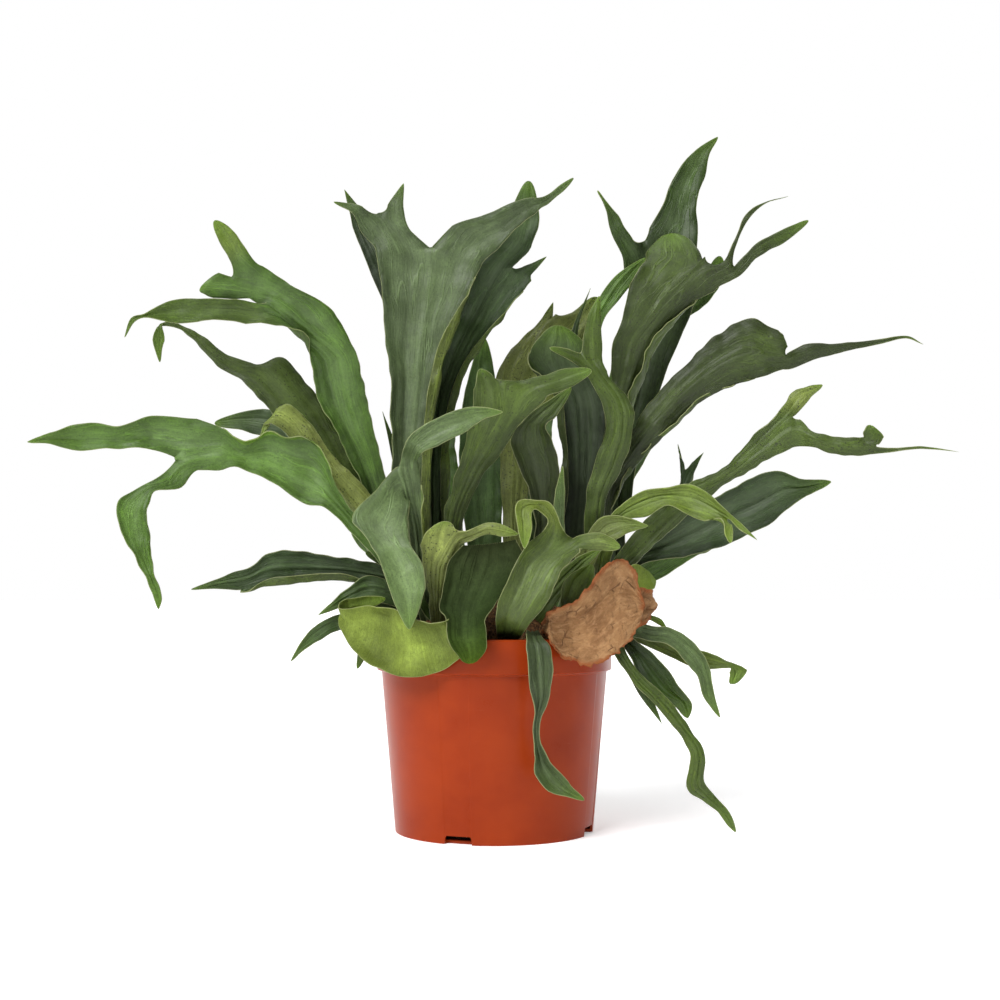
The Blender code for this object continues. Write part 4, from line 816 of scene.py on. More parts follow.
            (92, -51, 170, 91, -51, 160, 1), (120, -51, 164, 118, -51, 153, 2),
            (137, -48, 162, 132, -48, 150, 2), (149, -50, 155, 142, -50, 143, 2),
            (161, -50, 144, 154, -50, 131, 2), (168, -50, 128, 160, -50, 120, 2),
            (170, -50, 113, 163, -50, 109, 1),
        ],
        tip=(175, -50, 93, 0.9),
    )),
    "frond_trailing_fresh": ("fresh", blade(
        [
            (67, -13, 159, 65, -13, 156, 0), (77, -15, 169, 75, -15, 161, 0),
            (96, -21, 166, 94, -21, 158, 0), (132, -26, 155, 128, -26, 144, 0),
            (155, -30, 146, 152, -30, 133, 1), (170, -32, 143, 166, -32, 129, 2),
            (183, -34, 136, 179, -34, 130, 0), (189, -35, 134, 186, -35, 130, 0),
            (199, -36, 129, 185, -36, 127, 1),
        ],
        tip=(188, -36, 118, 0.3),
    )),
    "leaf_small_hook": ("fresh", blade(
        [
            (67, 6, 161, 65, 6, 159, 0), (78, 3, 174, 76, 3, 169, 0), (102, 0, 173, 102, 0, 168, 0),
            (124, -6, 172, 124, -6, 168, 0), (135, -10, 168, 132, -10, 164, 0),
        ],
        tip=(139, -12, 160, 0.7),
    )),
    "frond_far_left_high": ("green", blade(
        [
            (-29, 44, 164, -17, 44, 164, 1), (-36, 54, 185, -21, 54, 185, 2),
            (-48, 78, 236, -27, 78, 236, 3), (-63, 104, 299, -33, 104, 299, 4),
            (-79, 126, 365, -39, 126, 364, 5), (-90, 140, 414, -40, 140, 412, 5),
        ],
        gaps=[(-66, 150, 452)],
        lobes=[
            blade(
                [
                    (-95, 156, 455, -72, 156, 464, 2),
                ],
                tip=(-98, 170, 504, 0.7),
            ),
            blade(
                [
                    (-61, 158, 472, -37, 158, 453, 2),
                ],
                tip=(-41, 176, 505, 0.7),
            ),
        ],
    )),
    "frond_far_right_high": ("green", blade(
        [
            (40, 43, 157, 50, 43, 156, 1), (53, 59, 187, 66, 59, 185, 2),
            (69, 83, 236, 87, 83, 236, 3), (89, 106, 299, 110, 106, 299, 4),
            (99, 124, 363, 125, 124, 363, 4), (112, 138, 414, 143, 138, 414, 4),
        ],
        gaps=[(145, 148, 453)],
        lobes=[
            blade(
                [
                    (125, 154, 458, 140, 154, 464, 2),
                ],
                tip=(137, 166, 507, 0.7),
            ),
            blade(
                [
                    (155, 156, 466, 181, 156, 459, 2),
                ],
                tip=(182, 172, 500, 0.7),
            ),
        ],
    )),
    "frond_far_centre": ("green", blade(
        [
            (12, 44, 166, 25, 44, 166, 1), (13, 56, 185, 29, 56, 185, 2),
            (12, 83, 236, 34, 83, 236, 4), (10, 111, 291, 44, 111, 291, 5),
            (8, 134, 339, 52, 134, 337, 5),
        ],
        gaps=[(32, 146, 365)],
        lobes=[
            blade(
                [
                    (6, 156, 362, 23, 156, 372, 1),
                ],
                tip=(10, 176, 388, 0.7),
            ),
            blade(
                [
                    (38, 156, 375, 57, 156, 364, 1),
                ],
                tip=(62, 176, 392, 0.7),
            ),
        ],
    )),
    "frond_far_left_low": ("green", blade(
        [
            (-34, 50, 157, -26, 50, 160, 1), (-47, 64, 184, -37, 64, 192, 2),
            (-80, 90, 204, -73, 90, 222, 3), (-107, 115, 219, -100, 115, 243, 4),
            (-131, 136, 242, -112, 136, 264, 4),
        ],
        tip=(-142, 155, 304, 0.7),
    )),
    "frond_far_right_low": ("green", blade(
        [
            (29, 52, 158, 35, 54, 152, 1), (95, 79, 190, 106, 79, 183, 2),
            (136, 100, 219, 154, 100, 208, 3), (182, 124, 248, 196, 124, 230, 4),
            (225, 140, 269, 236, 140, 247, 4),
        ],
        tip=(275, 152, 287, 0.7),
    )),
    "frond_far_mid_right": ("green", blade(
        [
            (17, 55, 155, 23, 56, 149, 1), (89, 85, 192, 99, 85, 187, 2),
            (99, 106, 273, 114, 106, 265, 3), (126, 123, 334, 145, 123, 325, 4),
            (166, 133, 378, 183, 133, 366, 4),
        ],
        tip=(226, 146, 406, 0.7),
    )),
    "frond_far_trailing": ("green", blade(
        [
            (18, 52, 164, 8, 52, 164, 0), (22, 60, 178, 8, 60, 178, 1), (24, 93, 164, 6, 93, 164, 2),
            (26, 112, 130, 3, 112, 130, 3), (28, 118, 94, 5, 118, 94, 3),
            (26, 120, 59, 10, 120, 59, 2),
        ],
        tip=(21, 122, 14, 0.7),
    )),
    "shield_far_green": ("dark", blade(
        [
            (-41, 55, 150, -18, 55, 150, 3), (-81, 121, 165, -2, 121, 165, 5),
            (-80, 136, 140, 0, 136, 140, 6),
        ],
        tip=(-38, 126, 104, 0.45),
    )),
}


# ---------------------------------------------------------------- frond surfaces


def smooth(t):
    return t * t * (3 - 2 * t)


def knots(points):
    """Spacing of a curve's parameter: the square root of each chord."""
    chords = np.linalg.norm(np.diff(points, axis=0), axis=1)
    return np.concatenate([[0.0], np.cumsum(np.sqrt(chords) + 1e-6)])


def slopes(points, at, first=None):
    """Slope at each point, the weighted mean of its two chords."""
    steps = np.diff(at)
    chord = np.diff(points, axis=0) / steps[:, None]
    slope = np.empty_like(points)
    slope[0] = chord[0] if first is None else first
    slope[-1] = chord[-1]
    before, after = steps[:-1, None], steps[1:, None]
    slope[1:-1] = (chord[1:] * before + chord[:-1] * after) / (before + after)
    return slope


def curve(points, slope, at, i, t):
    """Cubic Hermite curve on span i."""
    span = at[i + 1] - at[i]
    t = t[:, None]
    start = 2 * t**3 - 3 * t**2 + 1
    leave = t**3 - 2 * t**2 + t
    arrive = t**3 - t**2
    turning = leave * slope[i] + arrive * slope[i + 1]
    return start * points[i] + (1 - start) * points[i + 1] + span * turning


def rounded_edge(start, end, forward, t):
    """A quarter ellipse from start to end that leaves at right angles to forward."""
    ahead = forward * ((end - start) @ forward)
    across = end - start - ahead
    return start + ahead * t[:, None] + across * np.sqrt(1 - (1 - t) ** 2)[:, None]


def stations(node, parent_row):
    """Centres, half widths, left edges, right edges and cups of a strip's own stations."""
    rows = np.array(node["rows"], float).reshape(-1, 7)
    left, right, cup = rows[:, :3], rows[:, 3:6], rows[:, 6]
    if parent_row is not None:
        left = np.vstack([parent_row[0], left])
        right = np.vstack([parent_row[-1], right])
        cup = np.concatenate([[0.0], cup])
    centre, half = (left + right) / 2, (right - left) / 2
    if node["tip"]:
        centre = np.vstack([centre, node["tip"][:3]])
        half = np.vstack([half, np.zeros(3)])
        cup = np.concatenate([cup, [0.0]])
    return centre, half, left, right, cup


def fork_row(centre, half, gaps, columns):
    """Where each column of the last row goes: along straight lines through the gaps' bottoms."""
    corners = [centre - half] + [np.array(gap, float) for gap in gaps] + [centre + half]
    chords = np.linalg.norm(np.diff(corners, axis=0), axis=1)
    at = np.concatenate([[0.0], np.cumsum(chords)]) / chords.sum()
    place = np.linspace(0, len(gaps) + 1, columns + 1)
    share = np.interp(place, range(len(corners)), at) * 2 - 1
    points = np.stack([np.interp(place, range(len(corners)), axis) for axis in np.transpose(corners)], -1)
    return share, points


def strip(node, columns, step, parent_row=None, leave=None, inner=(False, False)):
    """Grid of points of one unforked strip, rows from base to tip.

    A row is centre + half width * place - normal * cup * (1 - place squared), where place runs from
    -1 to 1; the last row before a fork bends to straight lines through the bottom of the gap.
    """
    centre, half, left, right, cup = stations(node, parent_row)
    at = knots(centre)
    if leave is not None:
        leave = leave * np.linalg.norm(centre[1] - centre[0]) / (at[1] - at[0])
    centre_slope, half_slope = slopes(centre, at, leave), slopes(half, at)
    spans = len(at) - 1
    parts = [[centre[:1], half[:1], cup[:1], np.zeros(1), np.zeros(1)]] if parent_row is None else []
    for i in range(spans):
        child = parent_row is not None and i == 0
        last = bool(node["tip"]) and i == spans - 1
        count = max(8 if child or last else 2, round(np.linalg.norm(centre[i + 1] - centre[i]) / step))
        t = np.arange(1, count + 1) / count
        if child:
            t = 1 - np.cos(t * math.pi / 2)
        elif last:
            t = 1 - (1 - t) ** 1.7
        middle = curve(centre, centre_slope, at, i, t)
        width = curve(half, half_slope, at, i, t)
        depth = cup[i] + (cup[i + 1] - cup[i]) * t
        if last:
            width = half[i] * ((1 - t) ** node["tip"][3])[:, None]
            depth = cup[i] * (1 - t)
        if child:
            low, high = middle - width, middle + width
            forward = (centre[1] - centre[0]) / np.linalg.norm(centre[1] - centre[0])
            if inner[0]:
                low = rounded_edge(left[0], left[1] if len(left) > 1 else centre[1], forward, t)
            if inner[1]:
                high = rounded_edge(right[0], right[1] if len(right) > 1 else centre[1], forward, t)
            middle, width = (low + high) / 2, (high - low) / 2
        fork = smooth(t) if node["gaps"] and i == spans - 1 else 0 * t
        parts.append([middle, width, depth, fork, 1 - smooth(t) if child else 0 * t])
    middle, width, depth, fork, blend = (np.concatenate(column) for column in zip(*parts))
    path = middle if parent_row is None else np.vstack([(parent_row[0] + parent_row[-1]) / 2, middle])
    along = np.gradient(path, axis=0)[len(path) - len(middle):]
    across = width.copy()
    across[-1] = across[-2] if node["tip"] else across[-1]
    normal = np.cross(across, along)
    normal /= np.linalg.norm(normal, axis=1)[:, None] + 1e-12
    place = np.repeat(np.linspace(-1, 1, columns + 1)[None], len(middle), 0)
    shift = np.zeros((len(middle), columns + 1, 3))
    if node["gaps"]:
        share, points = fork_row(middle[-1], width[-1], node["gaps"], columns)
        place = place * (1 - fork[:, None]) + share * fork[:, None]
        shift = fork[:, None, None] * (points - middle[-1] - width[-1] * share[:, None])
    bow = (depth[:, None] * (1 - place**2))[..., None] * normal[:, None]
    grid = middle[:, None] + width[:, None] * place[..., None] - bow + shift
    if parent_row is not None:
        part = np.linspace(0, 1, columns + 1)[:, None]
        bend = parent_row - (parent_row[0] * (1 - part) + parent_row[-1] * part)
        grid = np.concatenate([parent_row[None], grid + blend[:, None, None] * bend])
    return grid


def margin_of(grid, added):
    """Distance of each point of a strip to the nearer of its two margins, measured along its row."""
    steps = np.linalg.norm(np.diff(grid, axis=1), axis=2)
    from_left = np.concatenate([np.zeros((len(grid), 1)), np.cumsum(steps, axis=1)], axis=1)
    return np.minimum(from_left + added[0][:, None], from_left[:, -1:] - from_left + added[1][:, None])


def unit(vectors):
    return vectors / (np.linalg.norm(vectors, axis=-1, keepdims=True) + 1e-12)


def hem(grid, side, start, end, width, face):
    """A margin turned over, as grid rows, points and widths.

    Past the side, distance runs along an arc of HEM_RADIUS through HEM_TURN towards the face, then
    straight back over the leaf; the width swells from nothing at start to full and back at end.
    """
    line, inner = (grid[:, 0], grid[:, 1]) if side == 0 else (grid[:, -1], grid[:, -2])
    gone = np.concatenate([[0.0], np.cumsum(np.linalg.norm(np.diff(line, axis=0), axis=1))])
    share = gone / gone[-1]
    ramp = 0.3 * (end - start)
    swell, fade = (smooth(np.clip(part / ramp, 0, 1)) for part in (share - start, end - share))
    amount = width * swell * fade
    rows = np.nonzero(amount > 0.25)[0]
    out = unit(line - inner)
    normal = unit(np.cross(grid[:, -1] - grid[:, 0], np.gradient(line, axis=0))) * face
    past = amount[:, None] * np.linspace(0, 1, HEM_COLUMNS + 1)[None]
    turn = np.minimum(past / HEM_RADIUS, HEM_TURN)
    back = past - turn * HEM_RADIUS
    outward = HEM_RADIUS * np.sin(turn) + back * np.cos(turn)
    upward = HEM_RADIUS * (1 - np.cos(turn)) + back * np.sin(turn)
    points = line[:, None] + out[:, None] * outward[..., None] + normal[:, None] * upward[..., None]
    return rows, points, amount, past


def frond_surface(node, columns, tone, step, hems=()):
    """One sheet for a whole frond: points, quads, triangles and, for each point, its column share,
    length from the base, distance to the side, distance to the tip, and its two colours."""
    found = {key: [] for key in ("point", "column", "length", "margin", "to_tip", "upper", "lower")}
    quads, triangles, joints = [], [], []
    total = [0]

    def add(node, columns, tone, low, high, start, parent=None, leave=None, inner=(False, False)):
        row, names, colours = parent if parent else (None, None, None)
        grid = strip(node, columns, step, row, leave, inner)
        middle = grid.mean(axis=1)
        gone = np.concatenate([[0.0], np.cumsum(np.linalg.norm(np.diff(middle, axis=0), axis=1))])
        length = start + gone
        whole = max(1.0, 60.0 / gone[-1])
        to_tip = (gone[-1] - gone) * whole if node["tip"] else np.full(len(gone), 999.0)
        tone = node["tone"] or tone
        upper, lower = TONES[tone]
        ease = smooth(np.clip(gone / 30, 0, 1))[:, None]
        if colours is not None:
            upper = colours[0] * (1 - ease) + upper * ease
            lower = colours[1] * (1 - ease) + lower * ease
        upper, lower = np.broadcast_to(upper, (len(gone), 3)), np.broadcast_to(lower, (len(gone), 3))
        ends_in_point = bool(node["tip"])
        body = slice(1 if parent else 0, len(grid) - 1 if ends_in_point else len(grid))
        rows = len(grid[body])
        index = np.zeros(grid.shape[:2], int)
        if parent:
            index[0] = names
        index[body] = total[0] + np.arange(rows * (columns + 1)).reshape(rows, columns + 1)
        total[0] += rows * (columns + 1)
        share = np.broadcast_to(np.linspace(low, high, columns + 1), grid.shape[:2])
        added = np.zeros((2, len(grid)))
        for side, start, end, width, face in hems if parent is None else ():
            added[side] += hem(grid, side, start, end, width, face)[2]
        wide = {
            "point": grid,
            "column": share,
            "length": np.broadcast_to(length[:, None], share.shape),
            "margin": margin_of(grid, added),
            "to_tip": np.broadcast_to(to_tip[:, None], share.shape),
            "upper": np.broadcast_to(upper[:, None], grid.shape),
            "lower": np.broadcast_to(lower[:, None], grid.shape),
        }
        for key, value in wide.items():
            found[key].append(value[body].reshape(rows * (columns + 1), -1))
        if ends_in_point:
            index[-1] = total[0]
            total[0] += 1
            for key, value in wide.items():
                found[key].append(value[-1, columns // 2].reshape(1, -1))
        sides = index[:-1, :-1], index[:-1, 1:], index[1:, 1:], index[1:, :-1]
        cells = np.stack(sides, -1)
        if ends_in_point:
            triangles.append(cells[-1][:, :3])
            cells = cells[:-1]
        quads.append(cells.reshape(-1, 4))
        for side, start, end, width, face in hems if parent is None else ():
            rows, turned_over, amount, past = hem(grid, side, start, end, width, face)
            rows = rows[rows < len(grid) - ends_in_point]
            if len(rows) < 2:
                continue
            at = 0 if side == 0 else columns
            extra = total[0] + np.arange(len(rows) * HEM_COLUMNS).reshape(len(rows), HEM_COLUMNS)
            total[0] += extra.size
            names_here = np.concatenate([index[rows, at][:, None], extra], axis=1)
            if side == 0:
                names_here = names_here[:, ::-1]
            sides = names_here[:-1, :-1], names_here[:-1, 1:], names_here[1:, 1:], names_here[1:, :-1]
            quads.append(np.stack(sides, -1).reshape(-1, 4))
            shape = (len(rows), HEM_COLUMNS)
            spread = lambda values: np.broadcast_to(values[:, None], shape + values.shape[1:])
            off = (1 if side else -1) * past[rows, 1:] / 60
            folded = {
                "point": turned_over[rows, 1:],
                "column": (high if side else low) + off,
                "length": spread(length[rows]),
                "margin": amount[rows, None] - past[rows, 1:],
                "to_tip": spread(to_tip[rows]),
                "upper": spread(upper[rows]) * HEM_GAIN,
                "lower": spread(lower[rows]) * HEM_GAIN,
            }
            for key, value in folded.items():
                found[key].append(np.asarray(value).reshape(extra.size, -1))
        lobes = node["lobes"] or []
        if not lobes:
            return
        joints.append(index[-1])
        forward = middle[-1] - middle[-2]
        forward /= np.linalg.norm(forward)
        per = columns // len(lobes)
        for k, lobe in enumerate(lobes):
            piece = slice(k * per, k * per + per + 1)
            part = (high - low) / len(lobes)
            ends = low + part * k, low + part * (k + 1)
            mother = grid[-1][piece], index[-1][piece], (upper[-1], lower[-1])
            add(lobe, per, tone, *ends, length[-1], mother, forward, (k > 0, k < len(lobes) - 1))

    add(node, columns, tone, 0.0, 1.0, 0.0)
    sheet = {key: np.concatenate(value) for key, value in found.items()}
    sheet["quads"] = np.concatenate(quads)
    sheet["triangles"] = np.concatenate(triangles)
    sheet["joints"] = np.concatenate(joints) if joints else np.zeros(0, int)
    return sheet


def point_normals(points, quads, triangles):
    """Unit normal at each point, the sum of the normals of the faces round it."""
    total = np.zeros_like(points)
    for faces in (quads, triangles):
        corner = [points[faces[:, at]] for at in (0, 1, 2, -1)]
        normal = np.cross(corner[2] - corner[0], corner[3] - corner[1])
        for at in range(faces.shape[1]):
            np.add.at(total, faces[:, at], normal)
    return total / (np.linalg.norm(total, axis=1)[:, None] + 1e-15)


def open_edges(quads, triangles):
    """The directed edges that only one face uses."""
    rings = [np.stack([f, np.roll(f, -1, axis=1)], -1).reshape(-1, 2) for f in (quads, triangles)]
    edges = np.concatenate(rings)
    size = edges.max() + 1
    forward = edges[:, 0] * size + edges[:, 1]
    backward = edges[:, 1] * size + edges[:, 0]
    return edges[~np.isin(forward, backward)]


def waves(points, length, seed):
    """Smooth value between about -1 and 1: a sum of sines along fixed directions, in millimetres."""
    rng = np.random.default_rng(seed)
    value = np.zeros(len(points))
    for _ in range(7):
        direction = rng.normal(size=3)
        direction *= 2 * math.pi / (length * rng.uniform(0.75, 1.5) * np.linalg.norm(direction))
        value += np.sin(points @ direction + rng.uniform(0, 2 * math.pi))
    return value / 3.2


def distance_to_edge(sheet):
    """Distance to the nearest margin, with the bottoms of the gaps counted."""
    points = sheet["point"]
    rim = points[np.unique(open_edges(sheet["quads"], sheet["triangles"]))]
    rim = rim[::2]
    nearest = np.concatenate([
        np.sqrt(((block[:, None] - rim[None]) ** 2).sum(-1).min(1)) for block in np.array_split(points, 40)
    ])
    return np.minimum(sheet["margin"][:, 0], nearest)


def relaxed(points, quads, triangles, joints):
    """Evens out the creases where strips meet: points near a joint move towards their neighbours' mean."""
    pairs = np.concatenate([quads[:, [0, 1]], quads[:, [1, 2]], quads[:, [2, 3]], quads[:, [3, 0]]])
    pairs = np.concatenate([pairs, triangles[:, [0, 1]], triangles[:, [1, 2]], triangles[:, [2, 0]]])
    count = np.bincount(pairs.ravel(), minlength=len(points))[:, None]
    gap = np.linalg.norm(points[:, None] - points[joints][None], axis=2).min(axis=1)
    pull = 0.5 * np.exp(-((gap / 11) ** 2))
    pull[np.unique(open_edges(quads, triangles))] = 0
    for _ in range(60):
        total = np.zeros_like(points)
        np.add.at(total, pairs[:, 0], points[pairs[:, 1]])
        np.add.at(total, pairs[:, 1], points[pairs[:, 0]])
        points = points + (total / np.maximum(count, 1) - points) * pull[:, None]
    return points


def folds(across, name, seed):
    """Long soft ridges and valleys: each is a bell of the given height at a share of the width."""
    rng = np.random.default_rng(seed + 90)
    shares = rng.uniform(0.2, 0.4), rng.uniform(0.6, 0.8)
    plain = [(share, 1.5 * rng.choice((-1, 1))) for share in shares]
    found = FOLDS.get(name, plain)
    return sum(height * np.exp(-(((across - share) / FOLD_WIDTH) ** 2)) for share, height in found)


def ruffled(sheet, name, seed, ruffle, roll, quilt, torn):
    """Moves the sheet along its normals: ruffled margins, margins rolled to the underside, soft quilting,
    and veins, which are a random height for each column. Torn margins are pulled in towards the middle."""
    points = sheet["point"]
    edge = sheet["edge"]
    normal = point_normals(points, sheet["quads"], sheet["triangles"])
    narrow = np.clip(sheet["to_tip"][:, 0] / 25, 0, 1)
    wave = waves(points, 34, seed) + 0.6 * waves(points, 15, seed + 9)
    rise = ruffle * narrow * np.exp(-edge / 8) * wave
    rise += quilt * waves(points, 24, seed + 1) + 0.35 * quilt * waves(points, 9, seed + 2)
    rise -= roll * np.exp(-edge / 3.2) * (0.6 + 0.4 * waves(points, 60, seed + 3))
    heights = np.random.default_rng(seed + 50).normal(size=41)
    vein = np.interp(sheet["across"], np.linspace(-0.3, 1.3, 41), heights)
    rise += VEIN_HEIGHT * vein * np.clip(edge / 4, 0, 1) * (0.7 + 0.3 * waves(points, 70, seed + 4))
    sheet["fold"] = folds(sheet["across"], name, seed) * np.clip(edge / 8, 0, 1)
    rise += sheet["fold"] * (0.7 + 0.3 * waves(points, 90, seed + 10))
    moved = points + normal * rise[:, None]
    if torn:
        inward = unit(points.mean(axis=0) - points)
        bite = 0.5 + 0.3 * waves(points, 13, seed + 6) + 0.3 * waves(points, 5, seed + 7)
        moved = moved + inward * (torn * np.clip(bite, 0, 1.6) * np.exp(-edge / 5))[:, None]
    return moved


def shell(sheet, half=LEAF_HALF, thin=MARGIN_HALF):
    """Closes a sheet into a thin body: it goes half a thickness each way, less near the margin."""
    points, quads, triangles = sheet["point"], sheet["quads"], sheet["triangles"]
    normal = point_normals(points, quads, triangles)
    near = np.clip(sheet["edge"] / 1.6, 0, 1)
    thick = thin + (half - thin) * np.sqrt(1 - (1 - near) ** 2)
    lift = normal * thick[:, None]
    count = len(points)
    rim = open_edges(quads, triangles)
    side = np.stack([rim[:, 1], rim[:, 0], rim[:, 0] + count, rim[:, 1] + count], -1)
    return (
        np.concatenate([points + lift, points - lift]),
        np.concatenate([quads, quads[:, ::-1] + count, side]),
        np.concatenate([triangles, triangles[:, ::-1] + count]),
    )


# ---------------------------------------------------------------- meshes


def make_piece(name, points, faces, material, ride=True):
    """Mesh object from points in millimetres and lists of faces, at the origin, smooth shaded."""
    mesh = bpy.data.meshes.new(name)
    mesh.from_pydata((np.asarray(points) * MM).tolist(), [], faces)
    mesh.update()
    mesh.shade_smooth()
    piece = bpy.data.objects.new(name, mesh)
    bpy.context.scene.collection.objects.link(piece)
    mesh.materials.append(material)
    if ride:
        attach(piece, "root")
    return piece


def store(mesh, name, values, kind="FLOAT"):
    """Stores one value, or one colour, at each point of a mesh."""
    layer = mesh.attributes.new(name, kind, "POINT")
    if kind == "FLOAT":
        layer.data.foreach_set("value", np.ascontiguousarray(values, np.float32))
    else:
        full = np.concatenate([values, np.ones((len(values), 1))], axis=1)
        layer.data.foreach_set("color", np.ascontiguousarray(full, np.float32).ravel())


def store_uv(mesh, across, along):
    """Pattern coordinates: across and along the leaf, in centimetres."""
    corner = np.zeros(len(mesh.loops), np.int32)
    mesh.loops.foreach_get("vertex_index", corner)
    layer = mesh.uv_layers.new(name="leaf")
    pair = np.stack([across[corner], along[corner]], -1)
    layer.data.foreach_set("uv", np.ascontiguousarray(pair, np.float32).ravel())


def columns_for(node):
    """Number of end lobes, with every fork's lobes given an equal share."""
    if not node["lobes"]:
        return 1
    return len(node["lobes"]) * max(columns_for(lobe) for lobe in node["lobes"])


def frond_colours(sheet, seed, shade):
    """Colours of both faces: fresh at the tips, dull at the base and darkened there as painted shade of the
    crown, painted shade in the fold valleys and painted light on the ridges, patchy.
    """
    points = sheet["point"]
    tip = np.exp(-sheet["to_tip"] / 16)
    base = np.exp(-sheet["length"] / 45)
    patch = 1 + (0.14 * waves(points, 60, seed + 5) + 0.09 * waves(points, 17, seed + 8))[:, None]
    result = []
    for key in ("upper", "lower"):
        # painted shade and light: darker in the valleys of the folds and lighter on their ridges; shade is
        # each leaf's brightness, which is partly painted light and shade
        colour = sheet[key] * patch * shade * np.clip(1 + 0.07 * sheet["fold"], 0.5, 1.4)[:, None]
        colour = colour * (1 - 0.55 * tip) + TIP_COLOUR * 0.55 * tip
        # painted shade: darker near the base, where the crown shades the leaf; the mix with BASE_COLOUR is
        # the stalk's own dull colour
        colour = (colour * (1 - 0.15 * base) + BASE_COLOUR * 0.15 * base) * (1 - 0.5 * base)
        result.append(np.clip(colour, 0, 1))
    return np.concatenate(result)


def make_frond(cad_node, tone, node, material, seed):
    """A frond or shield leaf that stands for its CAD node."""
    ruffle, roll, quilt, torn, fine = SHAPING.get(cad_node, PLAIN_SHAPING)
    need = columns_for(node)
    columns = need * max(1, round(COLUMNS * fine / need))
    sheet = frond_surface(node, columns, tone, ROW_STEP / fine, HEMS.get(cad_node, ()))
    if len(sheet["joints"]):
        sheet["point"] = relaxed(sheet["point"], sheet["quads"], sheet["triangles"], sheet["joints"])
    sheet["edge"] = distance_to_edge(sheet)
    column, length = sheet["column"][:, 0], sheet["length"][:, 0]
    across, along = np.median(sheet["edge"]) * 4 * column, length
    sheet["across"] = column
    if cad_node in FANNED:
        across, along = length, across
        sheet["across"] = length / length.max()
    sheet["point"] = ruffled(sheet, cad_node, seed, ruffle, roll, quilt, torn)
    points, quads, triangles = shell(sheet)
    piece = make_piece(cad_node + "_surface", points, quads.tolist() + triangles.tolist(), material)
    colours = frond_colours(sheet, seed, LEAF_BRIGHTNESS_WITH_PAINTED_SHADE.get(cad_node, 1.0))
    twice = lambda values: np.concatenate([values, values])
    mesh = piece.data
    store(mesh, "tone", colours, "FLOAT_COLOR")
    store(mesh, "edge", twice(sheet["edge"]))
    store(mesh, "under", np.repeat([0.0, 1.0], len(sheet["edge"])))
    store_uv(mesh, twice(across) / 10, twice(along) / 10)
    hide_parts(cad_node)
    return piece


# ---------------------------------------------------------------- materials


class Wire:
    """A socket of a material's node tree, with arithmetic that adds Math nodes."""

    def __init__(self, board, socket):
        self.board, self.socket = board, socket

    def math(self, operation, other=None, swap=False):
        node = self.board.tree.nodes.new("ShaderNodeMath")
        node.operation = operation
        pair = [self] if other is None else [self, other]
        for slot, value in zip(node.inputs, reversed(pair) if swap else pair):
            self.board.feed(slot, value)
        return Wire(self.board, node.outputs[0])

    def __add__(self, other):
        return self.math("ADD", other)

    def __sub__(self, other):
        return self.math("SUBTRACT", other)

    def __rsub__(self, other):
        return self.math("SUBTRACT", other, swap=True)

    def __mul__(self, other):
        return self.math("MULTIPLY", other)

    __radd__ = __add__
    __rmul__ = __mul__

    def size(self):
        """Without its sign."""
        return self.math("ABSOLUTE")


class Board:
    """A material with one Principled shader; methods add its other nodes."""

    def __init__(self, name, **constants):
        self.material = bpy.data.materials.new(name)
        self.material.use_nodes = True
        self.tree = self.material.node_tree
        self.shader = self.tree.nodes["Principled BSDF"]
        for label, value in constants.items():
            self.shader.inputs[label.replace("_", " ")].default_value = value

    def feed(self, slot, value):
        if isinstance(value, Wire):
            self.tree.links.new(value.socket, slot)
        elif isinstance(value, (tuple, list, np.ndarray)) and len(value) == 3 and slot.type == "RGBA":
            slot.default_value = (*value, 1.0)
        else:
            slot.default_value = value

    def node(self, kind, settings=None, links=None, out=0):
        """Any node: its type, its settings, which are set first, and the values or wires of its sockets."""
        node = self.tree.nodes.new("ShaderNode" + kind)
        for key, value in (settings or {}).items():
            setattr(node, key, value)
        for key, value in (links or {}).items():
            self.feed(node.inputs[key], value)
        return Wire(self, node.outputs[out])

    def ramp(self, value, low, high):
        """0 below low, 1 above high, a smooth step between."""
        links = {"Value": value, "From Min": low, "From Max": high}
        return self.node("MapRange", {"interpolation_type": "SMOOTHSTEP"}, links)

    def mix(self, factor, first, second):
        """Colour mix."""
        return self.node("Mix", {"data_type": "RGBA"}, {0: factor, 6: first, 7: second}, out=2)

    def scaled(self, colour, amount):
        """A colour times a number."""
        return self.node("VectorMath", {"operation": "SCALE"}, {0: colour, "Scale": amount})

    def place(self):
        return self.node("TexCoord", out=3)

    def stretched(self, vector, scale):
        return self.node("Mapping", None, {"Vector": vector, "Scale": scale})

    def noise(self, vector, scale, detail=3.0, rough=0.55, twist=0.0):
        links = {"Vector": vector, "Scale": scale, "Detail": detail, "Roughness": rough}
        return self.node("TexNoise", None, {**links, "Distortion": twist})

    def cells(self, vector, scale, feature="F1", out=0):
        return self.node("TexVoronoi", {"feature": feature}, {"Vector": vector, "Scale": scale}, out)

    def value_of(self, name):
        return self.node("Attribute", {"attribute_name": name}, out=2)

    def finish(self, colour, rough, height, deep, strength):
        """Wires the shader: colour, roughness and a bump of that depth in metres."""
        self.feed(self.shader.inputs["Base Color"], colour)
        self.feed(self.shader.inputs["Roughness"], rough)
        links = {"Height": height, "Distance": deep, "Strength": strength}
        self.feed(self.shader.inputs["Normal"], self.node("Bump", None, links))
        return self.material


